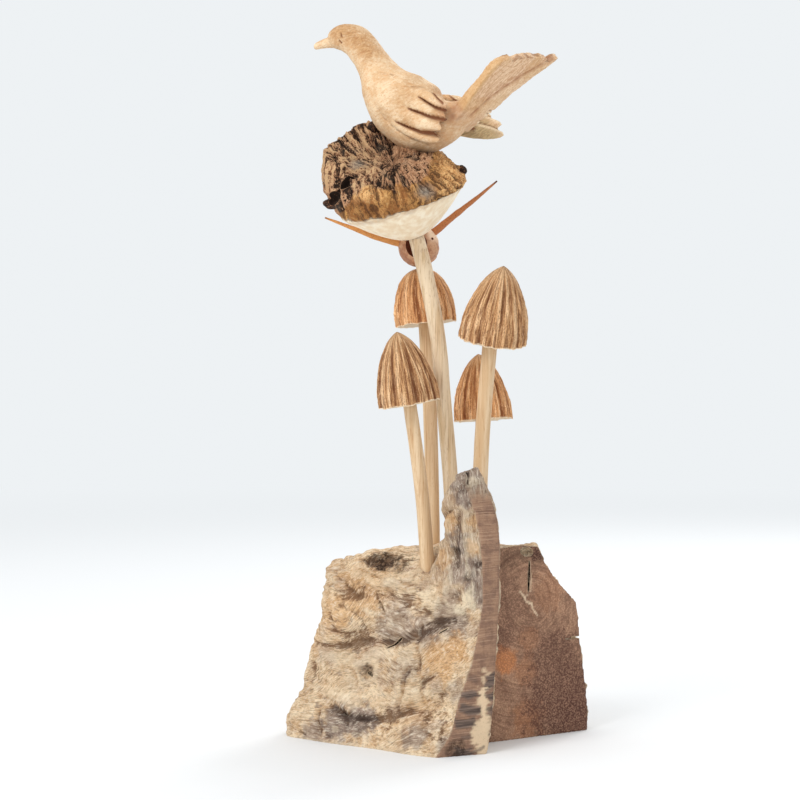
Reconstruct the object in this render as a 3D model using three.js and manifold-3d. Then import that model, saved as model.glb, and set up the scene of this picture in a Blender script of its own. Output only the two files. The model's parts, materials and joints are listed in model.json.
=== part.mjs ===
// Bird on mushroom carving: a wooden bird on a burl-capped mushroom, four small fluted
// mushrooms beside it and a thorned gall on one of them, all standing in one block of root wood.
// Millimetres, +Z up, the front of the carving towards -Y, the origin under the middle of the block.
import * as THREE from "three";
import { mergeVertices } from "three/addons/utils/BufferGeometryUtils.js";
import Module from "manifold-3d";

const wasm = await Module();
wasm.setup();

// Driving dimensions
const GLUE_GAP = 0.3; // between a stem and its socket

// Root block
const BLOCK_HALF_WIDTH = 63.9;
const PLATEAU = 79.5; // height of the block's top
const BLOCK_MIDDLE = [0, 4]; // plan point that the block's outlines are drawn round
const TOP_RINGS = [0.93, 0.81, 0.63, 0.42, 0.2, 0]; // shares of the way from that point to the edge
// Humps and dips of the block's top: [across, depth, reach, rise]
const TOP_RELIEF = [
  [-22, -5, 7, -3.4], [-2, 7, 6, 4.6], [-43, 11, 4, 3.2],
];
const SHOULDER_DROP = 8.5; // how far the top falls away along the natural face
const BACK_DROP = 3.5;
const LEFT_FALL = [-27, 0.38]; // where the top starts to fall to the left, and its slope
// Sawn faces in plan: the narrow front band, the step beside it and the wide right-hand face
const BAND_START = [-1.6, -40];
const BAND_SLOPE = 0.4;
const RIGHT_FACE_START = [19.9, -9];
const RIGHT_FACE_SLOPE = 0.6545;
const SAW_REACH = 110; // how far the cutting planes run past the block
const FACE_SHARE = 5 / 17; // share of the outline that is the natural front face
// Edges of the block: [height, distance across]
const LEFT_EDGE = [
  [0, -63.9], [9, -63.4], [15, -60], [20, -56.6], [35, -54.2], [41, -52.2], [48, -49.6], [60, -48],
  [80, -47],
];
const RIGHT_EDGE = [
  [0, 63.9], [13, 63.4], [26, 62], [36, 60.4], [49, 59.5], [55, 58.6], [61, 53.1], [66, 48.8], [74, 43.9],
  [80, 41.3],
];
const BAND_LEFT_EDGE = [
  [0, -1.6], [9, 4.5], [21, 7.3], [36, 12.5], [61, 16.5], [80, 15.3],
];
const BAND_RIGHT_EDGE = [
  [0, 18.4], [14, 20.4], [45, 22.4], [61, 23.2], [83, 23.6], [93, 22.5], [102, 19.7], [110, 16.6],
  [118, 12.5],
];
// Swells and hollows of the natural front face: [across, height, reach, how far out]
const FACE_RELIEF = [
  [-32, 58, 17, 2.6], [-36, 41, 8, -2.6], [-17, 43, 7, -2.8], [0, 46, 7, -1.6], [-13, 31, 9, 2.8],
  [-29, 27, 6, -2.4], [-44, 27, 8, 1.6], [-40, 9, 12, 2.2], [-24, 18, 7, -2], [-12, 7, 10, 2.4],
  [1, 20, 7, -2.2], [6, 62, 8, 1.2],
];
const FACE_NORMAL = [-0.549, -0.836];
const LEFT_DEPTH = 8; // where the natural face meets the left edge
const BACK_EDGE = [
  [0, 39.7], [16, 39.2], [40, 37.5], [62, 36], [80, 33],
];
const CRACK_HEIGHT = 39.7; // the open crack in the right-hand edge
const CRACK_TIP = 53.6;
const CRACK_MOUTH = 1.9;
const CRACK_RUN = 60;

// Spire that rises from the block behind the front band
const SPIRE_PEAK = [10.6, -30, 113.5];
const SPIRE_FOOT = 52; // the spire's form starts inside the block
const SPIRE_LEFT = [
  [52, -9], [66, -5.5], [76, -1.8], [88, 1], [100, 0.8], [106, 3.4], [111, 6.6], [113.5, 10.6],
];
const SPIRE_BAND_LEFT = [
  [52, 16], [76, 15.2], [88, 13.8], [96, 12], [104, 9], [110, 7.4], [113.5, 10.6],
];
const SPIRE_BACK = [
  [52, -6], [70, -9], [78, -13], [90, -17], [104, -21], [113.5, -28],
];

// Stems: [height, across, depth] of the centre line, with the radius at foot and head
const STEMS = {
  tall_stem: {
    path: [
      [70, 6.3, 3], [103, 5.1, 1.2], [119, 3.9, 0.3], [145, 1.5, -0.8], [160, 0.3, -1.2],
      [174, -1.7, -1.2], [189, -4.7, -0.6], [203, -8, 1], [214, -11.2, 2.6],
    ],
    foot: 3.1,
    head: 3.5,
  },
  front_left_stem: {
    path: [[61, -4.1, -11.6], [73, -4.9, -12], [104, -7.4, -13], [146, -13.2, -14]],
    foot: 3,
    head: 2.8,
  },
  rear_left_stem: {
    path: [[70, -1.9, 18], [103, -2.5, 18], [137, -3.4, 18], [179, -5.7, 18]],
    foot: 3,
    head: 3,
  },
  front_right_stem: {
    path: [[68, 15.6, -3.4], [112, 17.1, -4.4], [132, 18.2, -5], [171, 21.5, -6.5]],
    foot: 3.2,
    head: 3.1,
  },
  rear_right_stem: {
    path: [[68, 18, 22.6], [100, 18.3, 23], [138, 19.3, 24]],
    foot: 3,
    head: 3,
  },
};
const STEM_SIDES = 10;

// Small caps: middle of the rim, radius, height, lean in degrees to the right and the back, number of flutes
const CAPS = {
  front_left: { rim: [-12.3, -14, 139], radius: 13.1, height: 29.6, lean: -10, back: -4, flutes: 17 },
  rear_left: { rim: [-5, 18, 172.6], radius: 13.5, height: 24, lean: -7, back: 1, flutes: 19 },
  front_right: { rim: [21.9, -6, 164.6], radius: 14.5, height: 31.6, lean: 8, back: -14, flutes: 20 },
  rear_right: { rim: [19.5, 24, 131.9], radius: 12.9, height: 28.4, lean: -4, back: 3, flutes: 18 },
};
const FLUTE_DEPTH = 1.1;
// Cap outline from the point to the rim: [share of the height below the point, share of the radius]
const CAP_OUTLINE = [
  [0, 0], [0.03, 0.12], [0.13, 0.37], [0.32, 0.65], [0.56, 0.86], [0.82, 0.98], [1, 1],
];

// Burl cap of the tall mushroom, in its own leaning frame with the stem joint at its origin
const BURL_JOINT = [-9.9, 1.8, 208.2];
const BURL_LEAN_LEFT = 17.4;
const BURL_LEAN_FORWARD = 14.7;
const BURL_NECK = 4.1; // radius of the flat round the stem
const BURL_RIM = [26, 14.5]; // radius and height of the line where the bark starts
const BURL_TOP = 35; // height of the middle of the top
const BURL_EDGE_MEAN = 32; // height of the upper edge, and how it rises to the left and the back
const BURL_EDGE_RIGHT = -11.5;
const BURL_EDGE_BACK = 8.5;
const BURL_CREST = [105, 20, 5.5]; // a higher stretch of the edge: direction and width in degrees, rise
const BURL_CENTRE = [1, -12]; // where the grooves of the top run together
const BURL_BULGE = 4.2;
const BURL_LOBES = 24;
const LOBE_DEPTH = 1.7;
const BURL_CLEFT = [208, 6]; // deep cleft in the left side: direction in degrees, depth
const UNDERSIDE_POWER = 1.38; // how the underside curves up to the rim
// Small knobs on the burl: [middle, half sizes]
const BURL_KNOBS = [
  [[-27, 12, 255], [2.8, 3.4, 2.8]],
  [[8.6, 2, 236.6], [2.6, 3, 2]],
  [[-43, -6, 221.2], [4.8, 3.4, 2.4]],
];

// Bird, in its own frame: x towards the tail, y to its right (far) side, heights from the ground
const BIRD_PLACE = [-11.9, 0];
const BIRD_TURN = -28; // degrees about the vertical
// Stations from the face to the tail: [x, height, half depth, half width]
const BODY = [
  [-38, 292.6, 2, 2.2], [-36.8, 293, 3.9, 3.8], [-34.6, 293.4, 5, 4.7], [-30.6, 293.4, 5.9, 5.5],
  [-25.2, 290.6, 5.9, 5.5], [-19.8, 284, 5.9, 5.8], [-15.4, 276.8, 7.2, 7.6], [-11, 270.2, 11, 9.8],
  [-4.4, 263.4, 14.4, 11.4], [3.4, 257.8, 14.7, 11.6], [11, 254.4, 13, 10.2], [17.5, 253.6, 10, 8.2],
  [23.5, 255.6, 7.2, 6.6], [29, 259.2, 4, 6.2], [34.5, 263.6, 1.6, 5.4], [38, 266.2, 0.8, 3],
];
const BODY_SIDES = 14;
const BEAK_BASE = [-34.5, 292.2];
const BEAK_TIP = [-46.2, 290.9];
const BEAK_RADIUS = [2.6, 2.9]; // half width and half depth at the base
// Tail plate: [along, across to the far side], with the notches in its end
const TAIL_ROOT = [25, 256];
const TAIL_RISE = 37.5;
const TAIL_ROLL = 5;
const TAIL_OUTLINE = [
  [-5, 6], [8, 8.2], [18, 11], [28, 14], [38, 16.8], [42, 17.6], [41, 15.6], [37.6, 14.6], [38.8, 13.4],
  [38.4, 9], [37.6, 3], [36, -2], [34.6, -4.6], [32.6, -5.6], [33, -9], [31, -13], [28.6, -16.6],
  [27, -17.2], [19, -14.6], [11, -10.6], [3, -7.2], [-5, -6],
];
const TAIL_THICKNESS = 2.6;
const TAIL_BEVEL = 0.5;
// Wing feathers: [root x, y, height], [tip x, y, height], half width
const NEAR_WING = [
  [[-3, -8.2, 269], [23.2, -12, 258.2], 3.5],
  [[-6, -9.4, 266], [22.9, -12.6, 253.6], 3.3],
  [[-9, -9.6, 262], [21, -12.2, 249.4], 3.3],
  [[-12, -8.6, 258.5], [19, -10.2, 245.3], 3.5],
];
const FAR_WING = [
  [[-3, 8.2, 269], [25.5, 14.5, 260.6], 3.5],
  [[-5, 9.4, 266], [29, 18.4, 258.2], 3.3],
  [[-7, 9.6, 262], [32.6, 20.6, 255], 3.3],
  [[-9, 8.6, 258.5], [33.8, 20.8, 250.6], 3.6],
];
const FEATHER_THICKNESS = 1.7;

// Thorned gall on the point of the rear left cap
const GALL_MIDDLE = [-8.4, 18, 205.6];
const GALL_RADIUS = 8.9;
const GALL_MOUTH = [-9.2, 9.6, 205.6]; // the open hollow in its front
const GALL_MOUTH_RADII = [4.6, 7.4, 5.4];
const THORNS = [
  [[-14.5, 16.8, 206.6], [-26, 16, 209.4], [-37, 15, 213.4], [-47.8, 14, 217.4]],
  [[-3.6, 18.4, 210], [6, 19.4, 218], [16, 20.8, 226], [25.3, 22, 233.8]],
];
const THORN_RADIUS = 1.75;
const THORN_TIP = 0.35;

// Colours
const BIRD_WOOD = 0xe2c096;
const ROOT_WOOD = 0xa98861;
const STEM_WOOD = 0xe0c095;
const TALL_STEM_WOOD = 0xd8be9a;
const FLUTED_WOOD = 0xb98a55;
const THORN_WOOD = 0xb0683a;

const { degToRad, lerp, smoothstep } = THREE.MathUtils;

// Value at a height from a list of [height, value] pairs
function along(list, height) {
  for (let i = 1; i < list.length; i++) {
    const [low, a] = list[i - 1];
    const [high, b] = list[i];
    if (height <= high) return lerp(a, b, THREE.MathUtils.clamp((height - low) / (high - low), 0, 1));
  }
  return list.at(-1)[1];
}

// A rounded hill of height 1 and the given reach round a point
function hill(x, y, reach) {
  return Math.exp(-(x * x + y * y) / (reach * reach));
}

// Closed solid from a geometry, with its faces outwards
function solidOf(geometry) {
  const bare = geometry.index ? geometry : geometry.clone();
  bare.deleteAttribute("normal");
  bare.deleteAttribute("uv");
  const merged = mergeVertices(bare, 1e-4);
  const corners = merged.getAttribute("position").array;
  const faces = new Uint32Array(merged.index.array);
  const mesh = { numProp: 3, vertProperties: corners, triVerts: faces };
  const solid = new wasm.Manifold(new wasm.Mesh(mesh));
  if (solid.volume() > 0) return solid;
  faces.reverse();
  return new wasm.Manifold(new wasm.Mesh(mesh));
}

// Closed form whose skin is placed by its share of a turn and its share of the way from end to end
function formed(columns, rows, place) {
  const geometry = new THREE.SphereGeometry(1, columns, rows);
  const position = geometry.getAttribute("position");
  for (let i = 0; i < position.count; i++) {
    const row = Math.floor(i / (columns + 1));
    const atPole = row === 0 || row === rows;
    const turn = atPole ? 0 : (i % (columns + 1) % columns) / columns;
    const point = place(turn, row / rows);
    position.setXYZ(i, point.x, point.y, point.z);
  }
  return solidOf(geometry);
}

function moved(solid, matrix) {
  return solid.transform(matrix.elements);
}

function meshOf(name, solid, colour, roughness = 0.75) {
  const { vertProperties, triVerts } = solid.getMesh();
  const geometry = new THREE.BufferGeometry();
  geometry.setAttribute("position", new THREE.BufferAttribute(vertProperties, 3));
  geometry.setIndex(new THREE.BufferAttribute(triVerts, 1));
  const material = new THREE.MeshStandardMaterial({ color: colour, roughness, metalness: 0 });
  const mesh = new THREE.Mesh(geometry, material);
  mesh.name = name;
  return mesh;
}

// A round bar along a curve with a radius that changes, cut level at each end
function bar(curve, radiusAt, sides, rows) {
  return formed(sides, rows, (turn, way) => {
    const inner = THREE.MathUtils.clamp((way * rows - 1) / (rows - 2), 0, 1);
    const centre = curve.getPoint(inner);
    if (way === 0 || way === 1) return centre;
    const angle = turn * 2 * Math.PI;
    const radius = radiusAt(inner);
    return new THREE.Vector3(Math.cos(angle) * radius, Math.sin(angle) * radius, 0).add(centre);
  });
}

// Stem, or with a positive growth the socket that it stands in
function stemSolid(name, growth = 0) {
  const { path, foot, head } = STEMS[name];
  const points = path.map(([height, across, depth]) => new THREE.Vector3(across, depth, height));
  points[0].z -= growth;
  points.at(-1).z += growth;
  const rows = points.length + 4;
  return bar(new THREE.CatmullRomCurve3(points), (way) => lerp(foot, head, way) + growth, STEM_SIDES, rows);
}

function bandDepth(across) {
  return BAND_START[1] + BAND_SLOPE * (across - BAND_START[0]);
}

function rightFaceDepth(across) {
  return RIGHT_FACE_START[1] + RIGHT_FACE_SLOPE * (across - RIGHT_FACE_START[0]);
}

// Natural outline of the root at a height, running on past the sawn faces
function rootOutline(height) {
  const left = along(LEFT_EDGE, height);
  const right = along(RIGHT_EDGE, height);
  const band = along(BAND_LEFT_EDGE, height);
  const back = along(BACK_EDGE, height);
  const faceAt = (share, out) => [
    lerp(left, band, share) - 0.6 * out,
    lerp(LEFT_DEPTH, bandDepth(band), share) - 0.8 * out,
  ];
  const points = [
    [left, LEFT_DEPTH], faceAt(0.2, 2), faceAt(0.45, 0.8), faceAt(0.7, 0.4), faceAt(0.9, 0.3),
    [band, bandDepth(band)], [band + 9, bandDepth(band) - 2], [36, -30], [right + 5, -8],
    [right + 1.2, rightFaceDepth(right) - 6], [right, rightFaceDepth(right)], [right - 3, 29],
    [right - 17, back - 4], [20, back], [-12, back - 0.6], [left + 26, back - 4], [left + 10, 25],
  ];
  return new THREE.CatmullRomCurve3(points.map(([x, y]) => new THREE.Vector3(x, y, 0)), true);
}

const RIGHT_SHOULDER = RIGHT_EDGE.filter(([height]) => height > 48)
  .map(([height, across]) => [across, height])
  .reverse();

// Height of the block's top at a plan point, without the spire
function rootTop(x, y) {
  const inFromFace = (x + 47) * 0.549 + (y - 8) * 0.836;
  const shoulder = SHOULDER_DROP * (1 - smoothstep(inFromFace, 1, 16)) * smoothstep(x, -50, -24);
  const leftSide = 1.8 * smoothstep(-x, -4, 12);
  const leftFall = Math.max(0, LEFT_FALL[0] - x) * LEFT_FALL[1];
  const backFall = BACK_DROP * smoothstep(y, 20, 36);
  let top = PLATEAU - shoulder - leftSide - leftFall - backFall;
  top += 0.8 * Math.sin(x * 0.21 + 1) * Math.cos(y * 0.17);
  for (const [across, depth, reach, rise] of TOP_RELIEF) top += rise * hill(x - across, y - depth, reach);
  return Math.min(top, along(RIGHT_SHOULDER, x));
}

// Natural outline point with the face's swells and hollows
function rootSide(turn, height) {
  const plan = rootOutline(height).getPoint(turn);
  if (turn > FACE_SHARE) return plan.setZ(height);
  let out = 0;
  for (const [across, level, reach, rise] of FACE_RELIEF) {
    out += rise * hill(plan.x - across, height - level, reach);
  }
  out *= smoothstep(turn, 0, 0.04) * (1 - smoothstep(turn, FACE_SHARE - 0.06, FACE_SHARE));
  return new THREE.Vector3(plan.x + FACE_NORMAL[0] * out, plan.y + FACE_NORMAL[1] * out, height);
}

function rootLump() {
  const columns = 54;
  const sideRows = 12;
  const rows = 1 + sideRows + TOP_RINGS.length;
  const rimHeight = (turn) => {
    const plan = rootOutline(70).getPoint(turn);
    return rootTop(plan.x * 0.97, plan.y * 0.97) - 1.5;
  };
  return formed(columns, rows, (turn, way) => {
    const row = Math.round(way * rows);
    if (row === 0) return new THREE.Vector3(...BLOCK_MIDDLE, 0);
    const rim = rimHeight(turn);
    if (row <= sideRows + 1) {
      const height = (rim * (row - 1)) / sideRows;
      return rootSide(turn, height);
    }
    const inward = TOP_RINGS[row - sideRows - 2];
    const plan = rootSide(turn, rim);
    const x = lerp(BLOCK_MIDDLE[0], plan.x, inward);
    const y = lerp(BLOCK_MIDDLE[1], plan.y, inward);
    return new THREE.Vector3(x, y, rootTop(x, y));
  });
}

function spireLump() {
  const columns = 16;
  const rows = 12;
  return formed(columns, rows, (turn, way) => {
    const rise = THREE.MathUtils.clamp((way * rows - 1) / (rows - 1), 0, 1);
    const height = lerp(SPIRE_FOOT, SPIRE_PEAK[2], Math.sin((rise * Math.PI) / 2));
    if (way === 1) return new THREE.Vector3(...SPIRE_PEAK);
    const left = along(SPIRE_LEFT, height);
    const band = along(SPIRE_BAND_LEFT, height);
    const right = along(BAND_RIGHT_EDGE, height);
    const back = along(SPIRE_BACK, height);
    if (way === 0) return new THREE.Vector3((left + right) / 2, (back + bandDepth(band)) / 2, height);
    const points = [
      [left, back - 8], [lerp(left, band, 0.45), lerp(back - 8, bandDepth(band), 0.62) - 0.8],
      [band, bandDepth(band)],
      [band + 5, bandDepth(band) - 3], [right + 3, bandDepth(right) - 3], [right + 2, back - 6],
      [right - 2.5, back - 0.6], [(left + right) / 2, back], [left + 2.2, back - 2.6],
    ];
    const outline = new THREE.CatmullRomCurve3(points.map(([x, y]) => new THREE.Vector3(x, y, 0)), true);
    return outline.getPoint(turn).setZ(height);
  });
}

// Everything behind the sawn faces
function behindSaw() {
  const levels = [-5, ...BAND_RIGHT_EDGE.map(([height]) => height), SAW_REACH + 20];
  const rows = levels.length + 1;
  return formed(6, rows, (turn, way) => {
    const row = Math.round(way * rows);
    const height = levels[THREE.MathUtils.clamp(row - 1, 0, levels.length - 1)];
    if (way === 0 || way === 1) return new THREE.Vector3(...BLOCK_MIDDLE, height);
    const edge = along(BAND_RIGHT_EDGE, height);
    const corners = [
      [-SAW_REACH, bandDepth(-SAW_REACH)], [edge, bandDepth(edge)], [edge + 1.2, rightFaceDepth(edge + 1.2)],
      [SAW_REACH, rightFaceDepth(SAW_REACH)], [SAW_REACH, SAW_REACH], [-SAW_REACH, SAW_REACH],
    ];
    const [x, y] = corners[Math.round(turn * corners.length) % corners.length];
    return new THREE.Vector3(x, y, height);
  });
}

// Wedge-shaped crack that opens at the right-hand edge
function crackCut() {
  const outline = new THREE.Shape([
    new THREE.Vector2(CRACK_TIP, CRACK_HEIGHT),
    new THREE.Vector2(BLOCK_HALF_WIDTH + 8, CRACK_HEIGHT + CRACK_MOUTH),
    new THREE.Vector2(BLOCK_HALF_WIDTH + 8, CRACK_HEIGHT - CRACK_MOUTH * 0.6),
  ]);
  const wedge = solidOf(new THREE.ExtrudeGeometry(outline, { depth: CRACK_RUN, bevelEnabled: false }));
  const upright = new THREE.Matrix4().makeRotationX(Math.PI / 2);
  return moved(wedge, new THREE.Matrix4().makeTranslation(0, CRACK_RUN, 0).multiply(upright));
}

function rootBlock() {
  let block = rootLump().add(spireLump()).intersect(behindSaw()).subtract(crackCut());
  for (const name of Object.keys(STEMS)) block = block.subtract(stemSolid(name, GLUE_GAP));
  return block;
}

// Bell-shaped cap with V-shaped flutes of uneven width and a nearly flat underside
function capSolid(name, { rim, radius, height, lean, back, flutes }) {
  const columns = 2 * flutes;
  const rows = CAP_OUTLINE.length;
  const cap = formed(columns, rows, (turn, way) => {
    const row = Math.round(way * rows);
    if (row === rows) return new THREE.Vector3(0, 0, 1.2);
    const [down, out] = CAP_OUTLINE[row];
    const column = Math.round(turn * columns);
    const uneven = 0.32 * Math.sin(column * 2.4 + flutes) + 0.22 * Math.sin(column * 1.3);
    const angle = ((column + uneven * (column % 2 ? 1 : 0.3)) / columns) * 2 * Math.PI;
    const depth = column % 2 ? FLUTE_DEPTH * (0.75 + 0.35 * Math.sin(column * 1.7)) : 0;
    const r = out * (radius - depth * smoothstep(down, 0, 0.3));
    return new THREE.Vector3(Math.cos(angle) * r, Math.sin(angle) * r, height * (1 - down));
  });
  const tilt = new THREE.Euler(-degToRad(back), degToRad(lean), 0);
  const placed = moved(cap, new THREE.Matrix4().makeRotationFromEuler(tilt).setPosition(...rim));
  return placed.subtract(stemSolid(name + "_stem", GLUE_GAP));
}

// How high the ribs stand at a direction round the burl: 0 in a groove, 1 on a lobe
function lobe(angle) {
  const wandering = angle + 0.13 * Math.sin(2 * angle + 1) + 0.07 * Math.sin(5 * angle + 2);
  return Math.abs(Math.sin((BURL_LOBES * wandering) / 2)) ** 0.7;
}

// Smallest turn between two directions
function turnBetween(a, b) {
  return Math.abs(((a - b + 5 * Math.PI) % (2 * Math.PI)) - Math.PI);
}

// Height of the burl's upper edge in a direction
function burlEdge(angle) {
  const [direction, width, rise] = BURL_CREST;
  const crest = rise * Math.exp(-((turnBetween(angle, degToRad(direction)) / degToRad(width)) ** 2));
  return BURL_EDGE_MEAN + BURL_EDGE_RIGHT * Math.cos(angle) + BURL_EDGE_BACK * Math.sin(angle) + crest;
}

function burlSolid() {
  const columns = 66;
  const underRows = 4;
  const sideRows = 4;
  const topRows = 5;
  const rows = underRows + sideRows + topRows;
  const [rimRadius, rimHeight] = BURL_RIM;
  return formed(columns, rows, (turn, way) => {
    const row = Math.round(way * rows);
    const angle = turn * 2 * Math.PI;
    const ring = (r, height) => new THREE.Vector3(Math.cos(angle) * r, Math.sin(angle) * r, height);
    if (row === 0) return ring(0, 0);
    if (row <= underRows) {
      const share = (row - 1) / (underRows - 1);
      return ring(lerp(BURL_NECK, rimRadius, share), rimHeight * share ** UNDERSIDE_POWER);
    }
    const edge = burlEdge(angle);
    const height = edge - rimHeight;
    const cleft = BURL_CLEFT[1] * Math.exp(-((turnBetween(angle, degToRad(BURL_CLEFT[0])) / 0.13) ** 2));
    const rib = LOBE_DEPTH * (lobe(angle) - 0.65);
    if (row <= underRows + sideRows) {
      const share = (row - underRows) / sideRows;
      const bulge = (BURL_BULGE * height / 30) * Math.sin(Math.PI * share);
      const grow = smoothstep(share, 0, 0.6);
      return ring(rimRadius - 0.6 * share + bulge + (rib - cleft) * grow, rimHeight + height * share);
    }
    const share = 1 - (row - underRows - sideRows) / topRows;
    const point = ring((rimRadius - 0.6) * share, 0);
    point.x += BURL_CENTRE[0] * (1 - share);
    point.y += BURL_CENTRE[1] * (1 - share);
    const out = Math.min(1, Math.hypot(point.x, point.y) / (rimRadius - 0.6));
    const top = BURL_TOP + (burlEdge(Math.atan2(point.y, point.x)) - BURL_TOP) * out ** 2;
    return point.setZ(top + (1.4 * rib - 0.7 * cleft) * share ** 1.2);
  });
}

// Rounded knob: its middle and its half sizes
function knob(middle, halves, columns = 7, rows = 5) {
  return formed(columns, rows, (turn, way) => {
    const angle = turn * 2 * Math.PI;
    const out = Math.sin(way * Math.PI);
    return new THREE.Vector3(
      middle[0] + halves[0] * Math.cos(angle) * out,
      middle[1] + halves[1] * Math.sin(angle) * out,
      middle[2] + halves[2] * Math.cos(way * Math.PI),
    );
  });
}

// Body from the face to the under-tail, each station square to the line through the middles
function bodySolid() {
  const rows = BODY.length + 1;
  const middles = BODY.map(([x, height]) => new THREE.Vector3(x, 0, height));
  return formed(BODY_SIDES, rows, (turn, way) => {
    const row = THREE.MathUtils.clamp(Math.round(way * rows) - 1, 0, BODY.length - 1);
    const centre = middles[row].clone();
    if (way === 0 || way === 1) return centre;
    const ahead = middles[Math.min(row + 1, middles.length - 1)];
    const behind = middles[Math.max(row - 1, 0)];
    const run = ahead.clone().sub(behind).normalize();
    const upward = new THREE.Vector3(-run.z, 0, run.x);
    const [, , depth, width] = BODY[row];
    const angle = turn * 2 * Math.PI;
    centre.y += width * Math.sin(angle);
    return centre.addScaledVector(upward, depth * Math.cos(angle));
  });
}

function beakSolid() {
  const rows = 5;
  return formed(8, rows, (turn, way) => {
    const share = THREE.MathUtils.clamp((way * rows - 1) / (rows - 2), 0, 1);
    const x = lerp(BEAK_BASE[0], BEAK_TIP[0], share);
    const height = lerp(BEAK_BASE[1], BEAK_TIP[1], share) + 0.5 * Math.sin(share * Math.PI);
    if (way === 0 || way === 1) return new THREE.Vector3(x, 0, height);
    const slim = 1 - 0.62 * share ** 1.3;
    const angle = turn * 2 * Math.PI;
    const across = Math.cos(angle) * BEAK_RADIUS[0] * slim;
    return new THREE.Vector3(x, across, height + Math.sin(angle) * BEAK_RADIUS[1] * slim);
  });
}

// Long pointed feather, thick along its middle
function featherSolid([root, tip, halfWidth]) {
  const start = new THREE.Vector3(...root);
  const end = new THREE.Vector3(...tip);
  const run = end.clone().sub(start).normalize();
  const side = new THREE.Vector3(0, Math.sign(root[1]), 0);
  side.addScaledVector(run, -side.dot(run)).normalize();
  const across = new THREE.Vector3().crossVectors(run, side);
  return formed(6, 7, (turn, way) => {
    const centre = start.clone().lerp(end, way);
    const swell = Math.sin(Math.PI * way ** 1.6) ** 0.5;
    const angle = turn * 2 * Math.PI;
    centre.addScaledVector(across, Math.cos(angle) * halfWidth * swell);
    return centre.addScaledVector(side, Math.sin(angle) * FEATHER_THICKNESS * swell);
  });
}

function tailSolid() {
  const outline = new THREE.Shape(TAIL_OUTLINE.map(([x, y]) => new THREE.Vector2(x, y)));
  const plate = solidOf(new THREE.ExtrudeGeometry(outline, {
    depth: TAIL_THICKNESS - 2 * TAIL_BEVEL,
    bevelThickness: TAIL_BEVEL,
    bevelSize: TAIL_BEVEL,
    bevelOffset: -TAIL_BEVEL,
    bevelSegments: 1,
    curveSegments: 1,
  }));
  const turned = new THREE.Matrix4().makeRotationFromEuler(
    new THREE.Euler(-degToRad(TAIL_ROLL), -degToRad(TAIL_RISE), 0, "YXZ"),
  );
  return moved(plate, turned.setPosition(TAIL_ROOT[0], 0, TAIL_ROOT[1]));
}

function birdSolid() {
  let bird = bodySolid().add(beakSolid()).add(tailSolid());
  for (const feather of [...NEAR_WING, ...FAR_WING]) bird = bird.add(featherSolid(feather));
  const placed = new THREE.Matrix4().makeRotationZ(degToRad(BIRD_TURN));
  return moved(bird, placed.setPosition(...BIRD_PLACE, 0));
}

function birdOnBurl() {
  const lean = new THREE.Euler(degToRad(BURL_LEAN_FORWARD), -degToRad(BURL_LEAN_LEFT), 0);
  const place = new THREE.Matrix4().makeRotationFromEuler(lean).setPosition(...BURL_JOINT);
  let carved = moved(burlSolid(), place).add(birdSolid());
  for (const [middle, halves] of BURL_KNOBS) carved = carved.add(knob(middle, halves));
  return carved.subtract(stemSolid("tall_stem", GLUE_GAP));
}

function gallSolid() {
  const bulb = formed(14, 9, (turn, way) => {
    const angle = turn * 2 * Math.PI;
    const out = Math.sin(way * Math.PI);
    const radius = GALL_RADIUS * (1 + 0.035 * Math.sin(3 * angle + 1) * out);
    return new THREE.Vector3(
      GALL_MIDDLE[0] + radius * Math.cos(angle) * out,
      GALL_MIDDLE[1] + radius * Math.sin(angle) * out,
      GALL_MIDDLE[2] + GALL_RADIUS * Math.cos(way * Math.PI),
    );
  });
  let gall = bulb.subtract(knob(GALL_MOUTH, GALL_MOUTH_RADII, 10, 6));
  for (const points of THORNS) {
    const curve = new THREE.CatmullRomCurve3(points.map((p) => new THREE.Vector3(...p)));
    const rows = 7;
    const thorn = formed(6, rows, (turn, way) => {
      const inner = THREE.MathUtils.clamp((way * rows - 1) / (rows - 2), 0, 1);
      const centre = curve.getPoint(inner);
      if (way === 0 || way === 1) return centre;
      const run = curve.getTangent(inner);
      const side = new THREE.Vector3(0, 1, 0).cross(run).normalize();
      const depth = run.clone().cross(side);
      const radius = lerp(THORN_RADIUS, THORN_TIP, inner ** 1.2);
      const angle = turn * 2 * Math.PI;
      centre.addScaledVector(side, Math.cos(angle) * radius);
      return centre.addScaledVector(depth, Math.sin(angle) * radius);
    });
    gall = gall.add(thorn);
  }
  return gall;
}

const carving = new THREE.Group();
carving.add(meshOf("root_block", rootBlock(), ROOT_WOOD, 0.85));
for (const name of Object.keys(STEMS)) {
  carving.add(meshOf(name, stemSolid(name), name === "tall_stem" ? TALL_STEM_WOOD : STEM_WOOD, 0.7));
}
for (const [name, cap] of Object.entries(CAPS)) {
  carving.add(meshOf(name + "_cap", capSolid(name, cap), FLUTED_WOOD));
}
carving.add(meshOf("thorn_gall", gallSolid(), THORN_WOOD));
carving.add(meshOf("bird_on_burl_cap", birdOnBurl(), BIRD_WOOD));

export default carving;
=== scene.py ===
"""Looks of a carved wooden bird on a burl-capped mushroom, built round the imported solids.

Sizes in the classes are millimetres, in the frame of the solids: +Z up, the front towards -Y and the origin
on the ground under the middle of the root block. Meshes are written in metres.
"""

import json
import logging
import math
from dataclasses import dataclass
from enum import Enum
from typing import Callable, Iterable, Sequence

import bmesh
import bpy
from mathutils import Euler, Matrix, Vector, noise

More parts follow.
